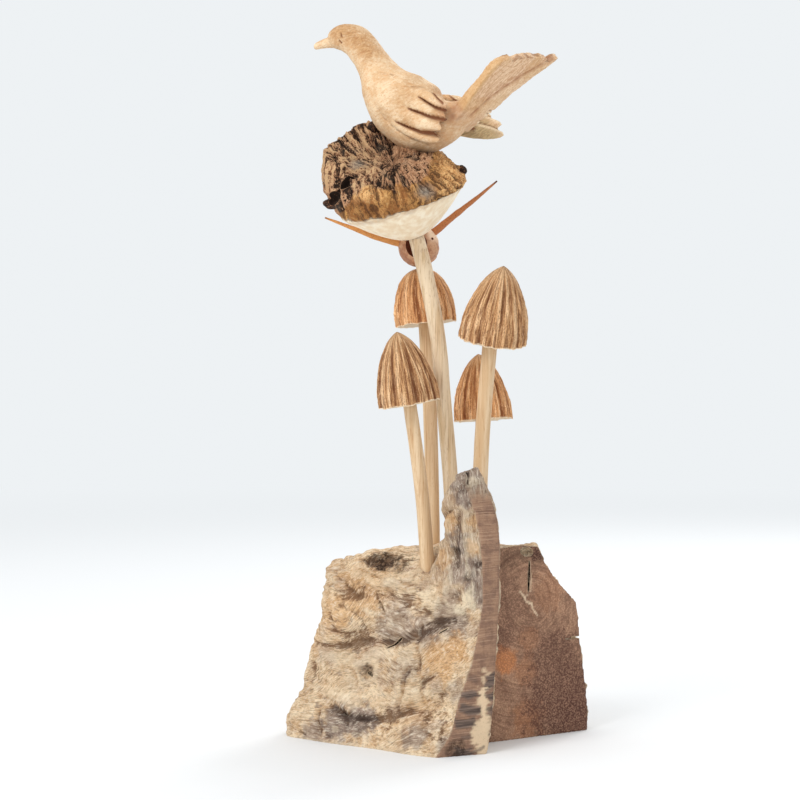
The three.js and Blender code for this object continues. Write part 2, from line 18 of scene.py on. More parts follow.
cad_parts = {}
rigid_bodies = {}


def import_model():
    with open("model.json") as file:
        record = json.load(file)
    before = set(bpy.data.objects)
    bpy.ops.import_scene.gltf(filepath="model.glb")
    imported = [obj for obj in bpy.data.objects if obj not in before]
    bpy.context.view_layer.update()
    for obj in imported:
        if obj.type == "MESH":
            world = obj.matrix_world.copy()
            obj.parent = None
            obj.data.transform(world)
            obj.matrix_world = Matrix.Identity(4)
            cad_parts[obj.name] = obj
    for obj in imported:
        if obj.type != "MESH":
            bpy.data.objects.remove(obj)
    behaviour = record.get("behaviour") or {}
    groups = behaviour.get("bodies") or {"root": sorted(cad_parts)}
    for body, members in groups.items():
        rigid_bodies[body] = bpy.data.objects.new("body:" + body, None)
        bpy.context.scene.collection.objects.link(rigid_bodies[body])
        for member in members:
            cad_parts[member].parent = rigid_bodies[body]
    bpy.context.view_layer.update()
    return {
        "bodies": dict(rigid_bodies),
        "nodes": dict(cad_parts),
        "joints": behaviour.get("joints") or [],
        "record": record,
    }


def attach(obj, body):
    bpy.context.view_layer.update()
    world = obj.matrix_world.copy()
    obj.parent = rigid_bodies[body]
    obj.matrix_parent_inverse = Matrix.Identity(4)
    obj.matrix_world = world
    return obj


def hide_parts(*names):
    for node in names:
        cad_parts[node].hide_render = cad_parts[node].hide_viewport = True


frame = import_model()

MM = 0.001
GLUE_GAP = 0.3
LOG = logging.getLogger("carving")

Pair = tuple[float, float]
Triple = tuple[float, float, float]
Line = tuple[Pair, ...]
Four = tuple[float, float, float, float]
Mesh = bmesh.types.BMesh
Piece = bpy.types.Object
Socket = bpy.types.NodeSocket
Finish = bpy.types.Material
Values = tuple[float, ...]
Spot = tuple[Vector, Values]
Place = Callable[[float, float], Spot]
Marks = Callable[[Vector, Vector], Values]


# Sums that the pieces share


def mix(a: float, b: float, share: float) -> float:
    """Value at a share of the way from a to b."""
    return a + (b - a) * share


def hold(value: float, low: float = 0.0, high: float = 1.0) -> float:
    """Value kept between two limits."""
    return max(low, min(high, value))


def ease(value: float, low: float, high: float) -> float:
    """Smooth rise from 0 at the low limit to 1 at the high one."""
    share = hold((value - low) / (high - low))
    return share * share * (3 - 2 * share)


def hump(distance: float, reach: float) -> float:
    """Rounded hump of height 1 at no distance."""
    return math.exp(-((distance / reach) ** 2))


def along(pairs: Sequence[Pair], place: float) -> float:
    """Value at a place in a list of (place, value) pairs.

    Args:
        pairs: places in order, each with its value.
        place: where the value is wanted.

    Returns:
        The value, held at both ends.
    """
    for (low, a), (high, b) in zip(pairs, pairs[1:]):
        if place <= high:
            return mix(a, b, hold((place - low) / (high - low)))
    return pairs[-1][1]


def lumps(point: Vector, size: float, seed: float = 0.0) -> float:
    """Smooth noise from about -1 to 1.

    Args:
        point: place in millimetres.
        size: width of one lump in millimetres.
        seed: number that picks another pattern.

    Returns:
        The height of the noise there.
    """
    return noise.noise(point / size + seed * Vector((1, -1.7, 0.6)))


def creases(point: Vector, size: float, seed: float = 0.0) -> float:
    """Noise with sharp crests: 1 on a crest and 0 between them."""
    return 1 - min(1.0, 2.2 * abs(lumps(point, size, seed)))


def turn_between(a: float, b: float) -> float:
    """Smallest turn between two directions in radians."""
    return abs((a - b + 5 * math.pi) % (2 * math.pi) - math.pi)


def line_distance(x: float, y: float, line: Sequence[Pair]) -> Pair:
    """Distance from a point to a bent line, and the share of the line where it is nearest.

    Args:
        x: first coordinate of the point.
        y: second coordinate of the point.
        line: points that the line joins.

    Returns:
        The distance, and the share from 0 at the start to 1 at the end.
    """
    best = (1e9, 0.0)
    count = len(line) - 1
    for i in range(count):
        (ax, ay), (bx, by) = line[i], line[i + 1]
        length = (bx - ax) ** 2 + (by - ay) ** 2
        share = hold(((x - ax) * (bx - ax) + (y - ay) * (by - ay)) / length)
        gap = math.hypot(x - mix(ax, bx, share), y - mix(ay, by, share))
        if gap < best[0]:
            best = (gap, (i + share) / count)
    return best


@dataclass(frozen=True)
class Curve:
    """Smooth curve through points, open or closed."""

    points: tuple[Vector, ...]
    closed: bool = False

    def at(self, share: float) -> Vector:
        """Point at a share of the way along.

        Args:
            share: 0 at the start and 1 at the end.

        Returns:
            The point.
        """
        count = len(self.points)
        place = share * (count if self.closed else count - 1)
        index = min(int(place), count - 1 if self.closed else count - 2)
        weight = place - index
        before, start, end, after = (self._point(index + step) for step in (-1, 0, 1, 2))
        gaps = [max(1e-4, (b - a).length ** 0.5) for a, b in ((before, start), (start, end), (end, after))]
        lead = (start - before) / gaps[0] - (end - before) / (gaps[0] + gaps[1]) + (end - start) / gaps[1]
        tail = (end - start) / gaps[1] - (after - start) / (gaps[1] + gaps[2]) + (after - end) / gaps[2]
        lead, tail = lead * gaps[1], tail * gaps[1]
        square = 3 * (end - start) - 2 * lead - tail
        cube = 2 * (start - end) + lead + tail
        return start + lead * weight + square * weight**2 + cube * weight**3

    def run(self, share: float) -> Vector:
        """Direction of the curve at a share of the way along."""
        step = 0.01
        return (self.at(min(1, share + step)) - self.at(max(0, share - step))).normalized()

    def _point(self, index: int) -> Vector:
        """Point by number, carried past the ends.

        Args:
            index: number of the point, also before the first or after the last.

        Returns:
            The point.
        """
        count = len(self.points)
        if self.closed:
            return self.points[index % count]
        if index < 0:
            return 2 * self.points[0] - self.points[1]
        if index >= count:
            return 2 * self.points[-1] - self.points[-2]
        return self.points[index]


# Meshes


class Join(Enum):
    """How one closed piece of wood is put together with another."""

    ADD = "UNION"
    CUT = "DIFFERENCE"
    KEEP_INSIDE = "INTERSECT"


def skin(columns: int, rows: int, place: Place, marks: Sequence[str] = ()) -> Mesh:
    """Closed ball of quads, pulled into shape.

    Args:
        columns: faces round the ball.
        rows: faces from its top to its bottom.
        place: gives a vertex its place in millimetres and its marks, from its share of a turn and of the way
            down.
        marks: names of the marks, which are kept as attributes of the vertices.

    Returns:
        The shaped mesh, in metres.
    """
    ball = bmesh.new()
    bmesh.ops.create_uvsphere(ball, u_segments=columns, v_segments=rows, radius=1.0)
    layers = [ball.verts.layers.float.new(name) for name in marks]
    for vert in ball.verts:
        row = round(math.acos(hold(vert.co.z, -1, 1)) / math.pi * rows)
        turn = math.atan2(vert.co.y, vert.co.x) / (2 * math.pi) - 0.25
        column = 0 if row in (0, rows) else round(turn * columns) % columns
        point, values = place(column / columns, row / rows)
        vert.co = point * MM
        for layer, value in zip(layers, values):
            vert[layer] = value
    ball.normal_update()
    bmesh.ops.recalc_face_normals(ball, faces=ball.faces)
    return ball


def piece_of(name: str, shape: Mesh) -> Piece:
    """Object in the scene from a mesh that is being worked on, which is used up.

    Args:
        name: name of the object.
        shape: the mesh, which is used up.

    Returns:
        The object, linked to the scene.
    """
    mesh = bpy.data.meshes.new(name)
    shape.to_mesh(mesh)
    shape.free()
    piece = bpy.data.objects.new(name, mesh)
    bpy.context.scene.collection.objects.link(piece)
    return piece


def settle(piece: Piece) -> None:
    """Puts the result of a piece's modifiers into its mesh.

    Args:
        piece: the piece, whose modifiers are then gone.
    """
    graph = bpy.context.evaluated_depsgraph_get()
    done = bpy.data.meshes.new_from_object(piece.evaluated_get(graph))
    piece.modifiers.clear()
    old = piece.data
    piece.data = done
    bpy.data.meshes.remove(old)


def set_down(piece: Piece, frame: Matrix) -> None:
    """Sets a piece that was shaped in its own frame down in its place, which is in millimetres."""
    piece.data.transform(Matrix.Scale(MM, 4) @ frame @ Matrix.Scale(1 / MM, 4))


def join(piece: Piece, other: Piece, how: Join) -> None:
    """Adds, cuts or keeps inside one closed piece with another, which is then removed.

    Args:
        piece: closed piece that is kept.
        other: closed piece or tool that is used up.
        how: how the two are put together.
    """
    modifier = piece.modifiers.new("join", "BOOLEAN")
    modifier.operation = how.value
    modifier.solver = "MANIFOLD"
    modifier.object = other
    settle(piece)
    mesh = other.data
    bpy.data.objects.remove(other)
    bpy.data.meshes.remove(mesh)


def even_out(piece: Piece, size: float, passes: int = 0) -> None:
    """Covers a piece with even small quads and softens it.

    Args:
        piece: closed piece of wood.
        size: width of a quad in millimetres.
        passes: how many times the quads are smoothed.
    """
    modifier = piece.modifiers.new("even", "REMESH")
    modifier.mode = "VOXEL"
    modifier.voxel_size = size * MM
    settle(piece)
    if passes:
        modifier = piece.modifiers.new("soft", "SMOOTH")
        modifier.factor = 0.5
        modifier.iterations = passes
        settle(piece)


def carve(
    piece: Piece, move: Callable[[Vector, Vector], Vector], names: Sequence[str], marks: Marks
) -> None:
    """Moves each point of a piece and marks it.

    Args:
        piece: piece of wood.
        move: gives the move in millimetres from the place in millimetres and the direction outwards.
        names: names of the marks.
        marks: gives all the marks from the same two.
    """
    mesh = piece.data
    places = [(vert.co / MM, vert.normal.copy()) for vert in mesh.vertices]
    for name, column in zip(names, zip(*(marks(*place) for place in places))):
        mesh.attributes.new(name, "FLOAT", "POINT").data.foreach_set("value", list(column))
    for vert, (point, out) in zip(mesh.vertices, places):
        vert.co = (point + move(point, out)) * MM
    mesh.update()


def ball_at(middle: Triple, halves: Triple, turn: Euler | None = None, mark: tuple[str, float] | None = None,
            columns: int = 24, rows: int = 16) -> Mesh:
    """Rounded knob, or the tool that cuts a rounded hollow.

    Args:
        middle: its middle.
        halves: its half sizes.
        turn: how it is turned.
        mark: name and value of a mark that all its points get.
        columns: faces round it.
        rows: faces from top to bottom.

    Returns:
        The mesh.
    """
    ball = bmesh.new()
    bmesh.ops.create_uvsphere(ball, u_segments=columns, v_segments=rows, radius=MM)
    bmesh.ops.scale(ball, vec=halves, verts=ball.verts)
    if turn:
        bmesh.ops.rotate(ball, matrix=turn.to_matrix(), verts=ball.verts)
    bmesh.ops.translate(ball, vec=Vector(middle) * MM, verts=ball.verts)
    if mark:
        layer = ball.verts.layers.float.new(mark[0])
        for vert in ball.verts:
            vert[layer] = mark[1]
    return ball


# Finishes


def tint(red: int, green: int, blue: int) -> Four:
    """Colour from the usual steps of 0 to 255, as the shader takes it."""
    steps = [value / 255 for value in (red, green, blue)]
    return (*(v / 12.92 if v <= 0.04045 else ((v + 0.055) / 1.055) ** 2.4 for v in steps), 1.0)


class Shade:
    """Nodes of one finish, laid out by short calls."""

    def __init__(self, name: str) -> None:
        """Starts the finish with a plain shader.

        Args:
            name: name of the material.
        """
        self.material = bpy.data.materials.new(name)
        self.material.use_nodes = True
        self.tree = self.material.node_tree
        self.shader = self.tree.nodes["Principled BSDF"]
        self.where = self.tree.nodes.new("ShaderNodeTexCoord").outputs["Object"]

    def feed(self, socket: Socket, value: object) -> None:
        """Joins a socket to another, or sets its value.

        Args:
            socket: socket that is fed.
            value: another socket, or a plain value.
        """
        if isinstance(value, bpy.types.NodeSocket):
            self.tree.links.new(value, socket)
        else:
            socket.default_value = value

    def node(self, kind: str, result: int | str, inputs: dict[int | str, object], **settings: str) -> Socket:
        """One node of the finish.

        Args:
            kind: kind of node.
            result: the output that is wanted.
            inputs: what goes into its sockets.
            settings: its settings.

        Returns:
            The output.
        """
        node = self.tree.nodes.new("ShaderNode" + kind)
        for name, setting in settings.items():
            setattr(node, name, setting)
        for socket, value in inputs.items():
            self.feed(node.inputs[socket], value)
        return node.outputs[result]

    def sum(self, kind: str, a: object, b: object = 0.0, clamp: bool = False) -> Socket:
        """One step of arithmetic, such as ADD or MULTIPLY."""
        return self.node("Math", 0, {0: a, 1: b}, operation=kind, use_clamp=clamp)

    def mark(self, name: str) -> Socket:
        """Value of a mark that the piece carries."""
        return self.node("Attribute", "Fac", {}, attribute_name=name)

    def flow(self) -> Socket:
        """Run of the wood that the piece carries as a mark of three numbers."""
        return self.node("Attribute", "Vector", {}, attribute_name="flow")

    def spread(self, size: Triple, turn: Triple = (0, 0, 0), base: object = None) -> Socket:
        """Coordinates in which a step of 1 is so many millimetres each way.

        Args:
            size: the step along x, y and z, after the turn.
            turn: turn in degrees.
            base: coordinates to start from, in metres, or None for the piece's own.

        Returns:
            The coordinates.
        """
        angles = [math.radians(v) for v in turn]
        turned = self.node("Mapping", 0, {"Vector": base or self.where, "Rotation": angles})
        return self.node("Mapping", 0, {"Vector": turned, "Scale": [1 / (v * MM) for v in size]})

    def cloud(self, where: object, detail: float = 3.0, rough: float = 0.55, twist: float = 0.0) -> Socket:
        """Noise from 0 to 1 on coordinates that spread() made."""
        inputs = {"Vector": where, "Scale": 1.0, "Detail": detail, "Roughness": rough, "Distortion": twist}
        return self.node("TexNoise", "Fac", inputs)

    def swirl(self, size: float, push: float) -> Socket:
        """The piece's own coordinates, pushed about by soft noise.

        Args:
            size: width of a swirl in millimetres.
            push: how far a point is pushed, in millimetres.

        Returns:
            The pushed coordinates in metres.
        """
        inputs = {"Vector": self.where, "Scale": 1 / (size * MM), "Detail": 1.0}
        inputs = {0: self.node("TexNoise", "Color", inputs), 1: (2 * push * MM,) * 3, 2: self.where}
        return self.node("VectorMath", 0, inputs, operation="MULTIPLY_ADD")

    def cells(self, where: object) -> Socket:
        """Distance to the nearest of scattered points."""
        return self.node("TexVoronoi", "Distance", {"Vector": where, "Scale": 1.0})

    def range(self, value: object, low: float, high: float, start: float = 0.0, end: float = 1.0) -> Socket:
        """Value carried smoothly from one range to another, held at its ends."""
        inputs = {"Value": value, "From Min": low, "From Max": high, "To Min": start, "To Max": end}
        return self.node("MapRange", "Result", inputs, interpolation_type="SMOOTHSTEP")

    def blend(self, share: object, a: object, b: object) -> Socket:
        """Colour between two colours."""
        return self.node("Mix", 2, {0: share, 6: a, 7: b}, data_type="RGBA", clamp_factor=True)

    def coats(self, colour: object, coats: Sequence[tuple[object, object]]) -> Socket:
        """Colour with further colours laid over it, one after another.

        Args:
            colour: colour to start from.
            coats: for each coat, how much of it shows and its colour.

        Returns:
            The colour on top.
        """
        for share, over in coats:
            colour = self.blend(share, colour, over)
        return colour

    def relief(self, height: object, depth: float, under: object = None) -> Socket:
        """Bump of a height from 0 to 1 over a coarser one, with its depth in millimetres."""
        inputs = {"Height": height, "Distance": depth * MM} | ({"Normal": under} if under else {})
        return self.node("Bump", "Normal", inputs)

    def close(self, colour: object, rough: object, normal: object = None, gloss: float = 0.3) -> Finish:
        """Joins the finish to the shader.

        Args:
            colour: colour of the surface.
            rough: roughness.
            normal: bump, if any.
            gloss: specular level.

        Returns:
            The finished material.
        """
        self.feed(self.shader.inputs["Base Color"], colour)
        self.feed(self.shader.inputs["Roughness"], rough)
        self.shader.inputs["Specular IOR Level"].default_value = gloss
        if normal:
            self.feed(self.shader.inputs["Normal"], normal)
        return self.material


@dataclass(frozen=True)
class BirdWood:
    """Pale carved wood, sanded and unvarnished, with brown painted shade in the wing cuts."""

    turn: float = 28.0

    def material(self) -> Finish:
        """The finish of the bird, which reads the marks of Bird."""
        s = Shade("bird_wood")
        soft = s.swirl(14, 2.5)
        broad = s.cloud(s.spread((9, 5, 5), (0, 0, self.turn), soft), 3, 0.6)
        grain = s.cloud(s.spread((5, 0.8, 0.7), (0, 24, self.turn), soft), 4, 0.65)
        mottle = s.cloud(s.spread((1.8, 1.3, 1.2), (0, 0, self.turn)), 4, 0.72)
        pores = s.cloud(s.spread((0.85, 0.42, 0.42), (0, 20, self.turn)), 3, 0.75)
        colour = s.blend(s.range(broad, 0.36, 0.62), tint(234, 207, 170), tint(221, 184, 141))
        colour = s.coats(colour, (
            (s.range(mottle, 0.5, 0.66, 0, 0.5), tint(222, 166, 116)),
            (s.range(mottle, 0.46, 0.34, 0, 0.4), tint(246, 226, 195)),
        ))
        tan = s.sum("MULTIPLY", s.mark("tan"), s.range(mottle, 0.3, 0.6, 0.6, 1.0))
        colour = s.coats(colour, (
            (tan, s.blend(s.range(grain, 0.42, 0.6), tint(196, 152, 104), tint(160, 114, 70))),
            (s.range(grain, 0.5, 0.66, 0, 0.35), tint(204, 148, 98)),
        ))
        ahead = s.spread((1000, 1000, 1000), (0, 0, self.turn))
        streak = s.cloud(s.spread((7, 0.9, 0.9), (0, 37.5, 0), ahead), 4, 0.65)
        tail = s.blend(s.range(streak, 0.38, 0.6), tint(240, 208, 172), tint(216, 176, 138))
        tail = s.coats(tail, (
            (s.range(mottle, 0.5, 0.6, 0, 0.6), tint(184, 134, 92)),
            (s.sum("MULTIPLY", s.mark("tan"), 0.8), tint(204, 158, 98)),
        ))
        colour = s.coats(colour, (
            (s.mark("tail"), tail),
            # Grey: painted shade on the far wing's feathers.
            (s.mark("grey"), s.blend(s.range(grain, 0.35, 0.65), tint(156, 136, 98), tint(206, 184, 142))),
            (s.mark("rust"), tint(164, 104, 66)),
            # Cream: painted highlight along the far-wing feather edges, and a faint light tone on the tail
            # band.
            (s.mark("cream"), tint(246, 226, 192)),
            (s.range(pores, 0.54, 0.66, 0, 0.55), tint(184, 122, 76)),
            # Brown painted shade in the wing cuts and under the far-wing feather edges; the same brown also
            # darkens the engraved lines, the eye slits and the ragged tail end.
            (s.range(s.mark("groove"), 0.1, 0.9, 0, 0.95),
             s.blend(mottle, tint(96, 54, 32), tint(156, 98, 62))),
        ))
        rough = s.range(grain, 0.3, 0.7, 0.6, 0.8)
        normal = s.relief(pores, 0.14, s.relief(mottle, 0.25, s.relief(grain, 0.18)))
        return s.close(colour, rough, normal)


@dataclass(frozen=True)
class BurlBark:
    """Dark ruffled burl with golden bark on the front and a pale carved underside."""

    def material(self) -> Finish:
        """The finish of the burl, which reads the marks of BurlCap and its flow outwards."""
        s = Shade("burl_bark")
        flow = s.flow()
        broad = s.cloud(s.spread((8, 8, 8)), 4, 0.6)
        wires = s.cloud(s.spread((0.75, 0.75, 4.5), base=flow), 4, 0.7, 0.8)
        tangle = s.cloud(s.spread((1.1, 1.1, 1.1), (0, 0, 0), s.swirl(5, 2)), 4, 0.7)
        speck = s.cloud(s.spread((0.5, 0.5, 0.5)), 2, 0.75)
        fine = s.sum("MULTIPLY", s.sum("ADD", wires, tangle), 0.5)
        # Painted shade and light from the relief: near-black in the grooves, lighter on the ridge tops.
        high = s.sum("SUBTRACT", 1.0, s.mark("groove"))
        lit = s.sum("ADD", high, s.range(fine, 0.4, 0.6, -0.5, 0.5), clamp=True)
        dark = s.blend(s.range(lit, 0.05, 0.5), tint(42, 27, 18), tint(112, 74, 50))
        dark = s.coats(dark, (
            (s.range(lit, 0.4, 0.9), tint(184, 134, 98)),
            (s.range(broad, 0.54, 0.66, 0, 0.5), tint(92, 80, 68)),
        ))
        # Thin painted highlights along the fibre threads where the ridges stand high.
        thread = s.range(s.sum("ABSOLUTE", s.sum("SUBTRACT", wires, 0.52)), 0.0, 0.04, 1.0, 0.0)
        dark = s.blend(s.sum("MULTIPLY", thread, s.range(lit, 0.15, 0.6)), dark, tint(222, 180, 140))
        # Painted highlights on the highest ridges where the cream mark lies.
        pale = s.sum("MULTIPLY", s.mark("cream"), s.range(lit, 0.75, 1.0, 0, 0.8))
        dark = s.blend(pale, dark, tint(206, 170, 126))
        gold = s.blend(s.range(broad, 0.4, 0.62), tint(204, 150, 88), tint(158, 104, 56))
        gold = s.coats(gold, (
            (s.mark("cream"), s.blend(s.range(tangle, 0.4, 0.6), tint(240, 192, 130), tint(210, 152, 94))),
            (s.range(fine, 0.5, 0.6, 0, 0.75), tint(126, 80, 44)),
            (s.range(fine, 0.46, 0.38, 0, 0.6), tint(232, 190, 130)),
            # Painted shade in the grooves of the golden bark.
            (s.range(lit, 0.5, 0.1, 0, 0.85), tint(84, 52, 30)),
            (s.range(speck, 0.56, 0.7, 0, 0.5), tint(92, 58, 34)),
        ))
        colour = s.blend(s.mark("gold"), dark, gold)
        ash = s.blend(s.range(fine, 0.4, 0.6), tint(96, 86, 78), tint(166, 150, 132))
        colour = s.blend(s.mark("grey"), colour, ash)
        streak = s.cloud(s.spread((3, 3, 6), (0, 0, 0), s.swirl(10, 2)), 3)
        under = s.blend(s.range(streak, 0.3, 0.7), tint(250, 238, 214), tint(236, 214, 180))
        under = s.blend(s.range(speck, 0.62, 0.74, 0, 0.3), under, tint(206, 170, 124))
        colour = s.blend(s.mark("pale"), colour, under)
        rough = s.range(s.mark("pale"), 0, 1, 0.85, 0.7)
        soft = s.range(s.mark("pale"), 0, 1, 1.0, 0.12)
        normal = s.relief(s.sum("MULTIPLY", speck, soft), 0.3, s.relief(s.sum("MULTIPLY", fine, soft), 1.0))
        return s.close(colour, rough, normal, 0.25)


@dataclass(frozen=True)
class DowelWood:
    """Smooth dowel with fine streaks along it."""

    name: str
    light: Four
    dark: Four
    streak: Four
    amount: float = 0.5

    def material(self) -> Finish:
        """The finish of a stem, which runs along z."""
        s = Shade(self.name)
        broad = s.cloud(s.spread((2.2, 2.2, 40)), 2)
        lines = s.cloud(s.spread((0.55, 0.55, 22)), 3, 0.6)
        fleck = s.cloud(s.spread((0.4, 0.4, 2.2)), 2, 0.6)
        colour = s.blend(s.range(broad, 0.35, 0.65), self.light, self.dark)
        colour = s.coats(colour, (
            (s.range(lines, 0.5, 0.72, 0, self.amount), self.streak),
            (s.range(fleck, 0.6, 0.78, 0, self.amount * 0.8), self.streak),
        ))
        normal = s.relief(lines, 0.12, s.relief(fleck, 0.05))
        return s.close(colour, s.range(lines, 0.3, 0.7, 0.55, 0.7), normal)


@dataclass(frozen=True)
class FlutedWood:
    """Cap wood with pale ridges and scorched grooves."""

    name: str
    ridge: Four
    face: Four
    groove: Four

    def material(self) -> Finish:
        """The finish of a cap, which reads the marks of FlutedCap and its flow along the flutes."""
        s = Shade(self.name)
        flow = s.flow()
        fine = s.cloud(s.spread((0.42, 0.42, 7), base=flow), 4, 0.7)
        wide = s.cloud(s.spread((2.0, 2.0, 26), base=flow), 3, 0.6)
        speck = s.cloud(s.spread((0.42, 0.42, 0.7), base=flow), 2, 0.75)
        deep = s.sum("ADD", s.mark("groove"), s.range(wide, 0.3, 0.7, -0.35, 0.35), clamp=True)
        colour = s.blend(s.range(deep, 0.05, 0.4), self.ridge, self.face)
        colour = s.coats(colour, (
            (s.range(deep, 0.5, 0.95, 0, 0.9), self.groove),
            (s.range(fine, 0.48, 0.6, 0, 0.75), self.groove),
            (s.range(fine, 0.46, 0.34, 0, 0.65), self.ridge),
            (s.range(speck, 0.52, 0.66, 0, 0.6), self.groove),
            (s.range(speck, 0.42, 0.3, 0, 0.4), self.ridge),
            (s.sum("MULTIPLY", s.mark("scorch"), s.range(wide, 0.35, 0.6)), self.groove),
            (s.mark("under"), tint(246, 226, 196)),
        ))
        normal = s.relief(speck, 0.2, s.relief(fine, 0.45))
        return s.close(colour, s.range(fine, 0.3, 0.7, 0.65, 0.85), normal, 0.2)


@dataclass(frozen=True)
class GallShell:
    """Dry pinkish shell with a red-brown hollow and orange thorns."""

    def material(self) -> Finish:
        """The finish of the gall, which reads the marks hollow, thorn, red and pale."""
        s = Shade("gall_shell")
        broad = s.cloud(s.spread((4, 4, 4)), 3)
        fine = s.cloud(s.spread((0.9, 0.9, 0.9)), 3, 0.65)
        colour = s.blend(s.range(broad, 0.4, 0.62), tint(201, 155, 119), tint(166, 112, 80))
        colour = s.coats(colour, (
            (s.range(fine, 0.5, 0.7, 0, 0.6), tint(150, 98, 68)),
            (s.mark("pale"), tint(238, 208, 178)),
            (s.mark("hollow"), s.blend(fine, tint(78, 34, 22), tint(142, 78, 54))),
        ))
        thorn = s.blend(s.mark("red"), tint(210, 144, 80), tint(184, 116, 70))
        thorn = s.blend(s.range(fine, 0.5, 0.7, 0, 0.5), thorn, tint(140, 74, 38))
        colour = s.coats(colour, (
            (s.mark("thorn"), thorn),
            (s.mark("tip"), tint(92, 52, 38)),
        ))
        return s.close(colour, s.range(fine, 0.3, 0.7, 0.5, 0.7), s.relief(fine, 0.2), 0.3)


@dataclass(frozen=True)
class RootWood:
    """Weathered root: fibrous natural skin, a sawn band with saw marks and a red-brown sawn face."""

    def natural(self, s: Shade) -> tuple[Socket, Socket]:
        """Colour and fibre height of the natural skin.

        Args:
            s: the finish that is being laid out.

        Returns:
            The colour and the height of the fibres.
        """
        soft = s.swirl(30, 14)
        level = s.cloud(s.spread((2.6, 2.6, 0.62), (0, 14, 0), soft), 4, 0.72, 0.25)
        upright = s.cloud(s.spread((0.6, 0.6, 7.5), (0, 7, 0), s.swirl(20, 3)), 4, 0.72)
        fibre = s.sum("ADD", s.sum("MULTIPLY", level, s.sum("SUBTRACT", 1.0, s.mark("upright"))),
                      s.sum("MULTIPLY", upright, s.mark("upright")))
        broad = s.cloud(s.spread((15, 15, 11), (0, 0, 0), s.swirl(22, 7)), 4, 0.6)
        blotch = s.cloud(s.spread((5.5, 5.5, 3.6), (0, 20, 0), s.swirl(9, 3)), 5, 0.7)
        colour = s.blend(s.range(blotch, 0.36, 0.64), tint(240, 214, 178), tint(208, 172, 132))
        colour = s.blend(s.range(broad, 0.5, 0.64, 0, 0.5), colour, tint(184, 160, 142))
        knots = s.cloud(s.spread((2.6, 2.6, 1.9), (0, 30, 0), s.swirl(6, 2.4)), 4, 0.72)
        colour = s.coats(colour, (
            (s.range(knots, 0.52, 0.64, 0, 0.4), tint(180, 138, 100)),
            (s.range(knots, 0.45, 0.36, 0, 0.4), tint(240, 222, 198)),
        ))
        greyed = s.blend(s.range(blotch, 0.35, 0.65), tint(180, 160, 144), tint(124, 106, 94))
        colour = s.coats(colour, (
            (s.range(s.cloud(s.spread((6, 6, 4)), 4, 0.7), 0.58, 0.66, 0, 0.6), greyed),
            (s.sum("MULTIPLY", s.mark("upright"), 0.45), tint(150, 124, 104)),
            (s.mark("grey"), greyed),
            (s.mark("gold"), tint(212, 160, 102)),
            (s.mark("white"), tint(240, 222, 190)),
            (s.range(fibre, 0.51, 0.63, 0, 0.58), tint(126, 94, 68)),
            (s.range(fibre, 0.47, 0.36, 0, 0.5), tint(250, 236, 214)),
        ))
        # Painted shade in the crevices where the skin lies back, and painted light on the raised skin.
        low = s.sum("MULTIPLY", s.mark("low"), s.range(fibre, 0.38, 0.6, 0.7, 1.2))
        colour = s.coats(colour, (
            (s.range(low, 0.45, 1.0, 0, 0.78),
             s.blend(s.mark("grey"), tint(110, 76, 52), tint(84, 68, 60))),
            (s.range(low, 0.2, 0.0, 0, 0.3), tint(244, 224, 192)),
        ))
        return colour, s.sum("ADD", s.sum("MULTIPLY", fibre, 0.6), s.sum("MULTIPLY", knots, 0.6))

    def band(self, s: Shade) -> tuple[Socket, Socket]:
        """Colour and saw-mark height of the narrow sawn band.

        Args:
            s: the finish that is being laid out.

        Returns:
            The colour and the height of the saw marks.
        """
        saw = s.cloud(s.spread((30, 30, 0.5), (0, 3, 0), s.swirl(30, 1.5)), 3, 0.75)
        chatter = s.cloud(s.spread((5, 5, 3.4)), 4, 0.65)
        strand = s.cloud(s.spread((0.9, 0.9, 12)), 3, 0.6)
        colour = s.blend(s.range(chatter, 0.38, 0.64), tint(160, 126, 102), tint(132, 102, 85))
        colour = s.coats(colour, (
            (s.range(saw, 0.5, 0.64, 0, 0.4), tint(104, 78, 64)),
            (s.range(saw, 0.46, 0.36, 0, 0.4), tint(200, 168, 140)),
            (s.range(strand, 0.52, 0.7, 0, 0.35), tint(118, 88, 70)),
            (s.mark("white"), tint(226, 200, 166)),
        ))
        grey = s.blend(s.range(saw, 0.4, 0.6), tint(128, 108, 96), tint(78, 66, 60))
        return s.blend(s.mark("grey"), colour, grey), saw

    def face(self, s: Shade, speck: Socket) -> Socket:
        """Colour of the wide sawn face, with its rings.

        Args:
            s: the finish that is being laid out.
            speck: fine noise.

        Returns:
            The colour.
        """
        rings = s.cloud(s.spread((1.15, 34, 34), base=s.flow()), 4, 0.7)
        broad = s.cloud(s.spread((9, 9, 16), (0, 28, 0), s.swirl(26, 8)), 4, 0.65)
        grit = s.cells(s.spread((0.8, 0.8, 0.7), (0, 30, 0), s.swirl(4, 0.8)))
        colour = s.blend(s.range(broad, 0.36, 0.62), tint(184, 144, 116), tint(146, 112, 90))
        colour = s.coats(colour, (
            (s.range(rings, 0.5, 0.62, 0, 0.45), tint(108, 72, 56)),
            (s.range(rings, 0.46, 0.36, 0, 0.4), tint(204, 162, 128)),
            (s.mark("rust"), tint(206, 134, 84)),
            (s.mark("grey"), tint(118, 84, 70)),
        ))
        pebble = s.sum("MULTIPLY", s.range(grit, 0.25, 0.65), s.range(s.mark("grey"), 0, 0.7, 0.35, 0.9))
        colour = s.coats(colour, (
            (pebble, tint(78, 50, 42)),
            (s.range(speck, 0.45, 0.3, 0, 0.5), tint(196, 148, 118)),
        ))
        return s.blend(s.mark("white"), colour, tint(232, 206, 174))

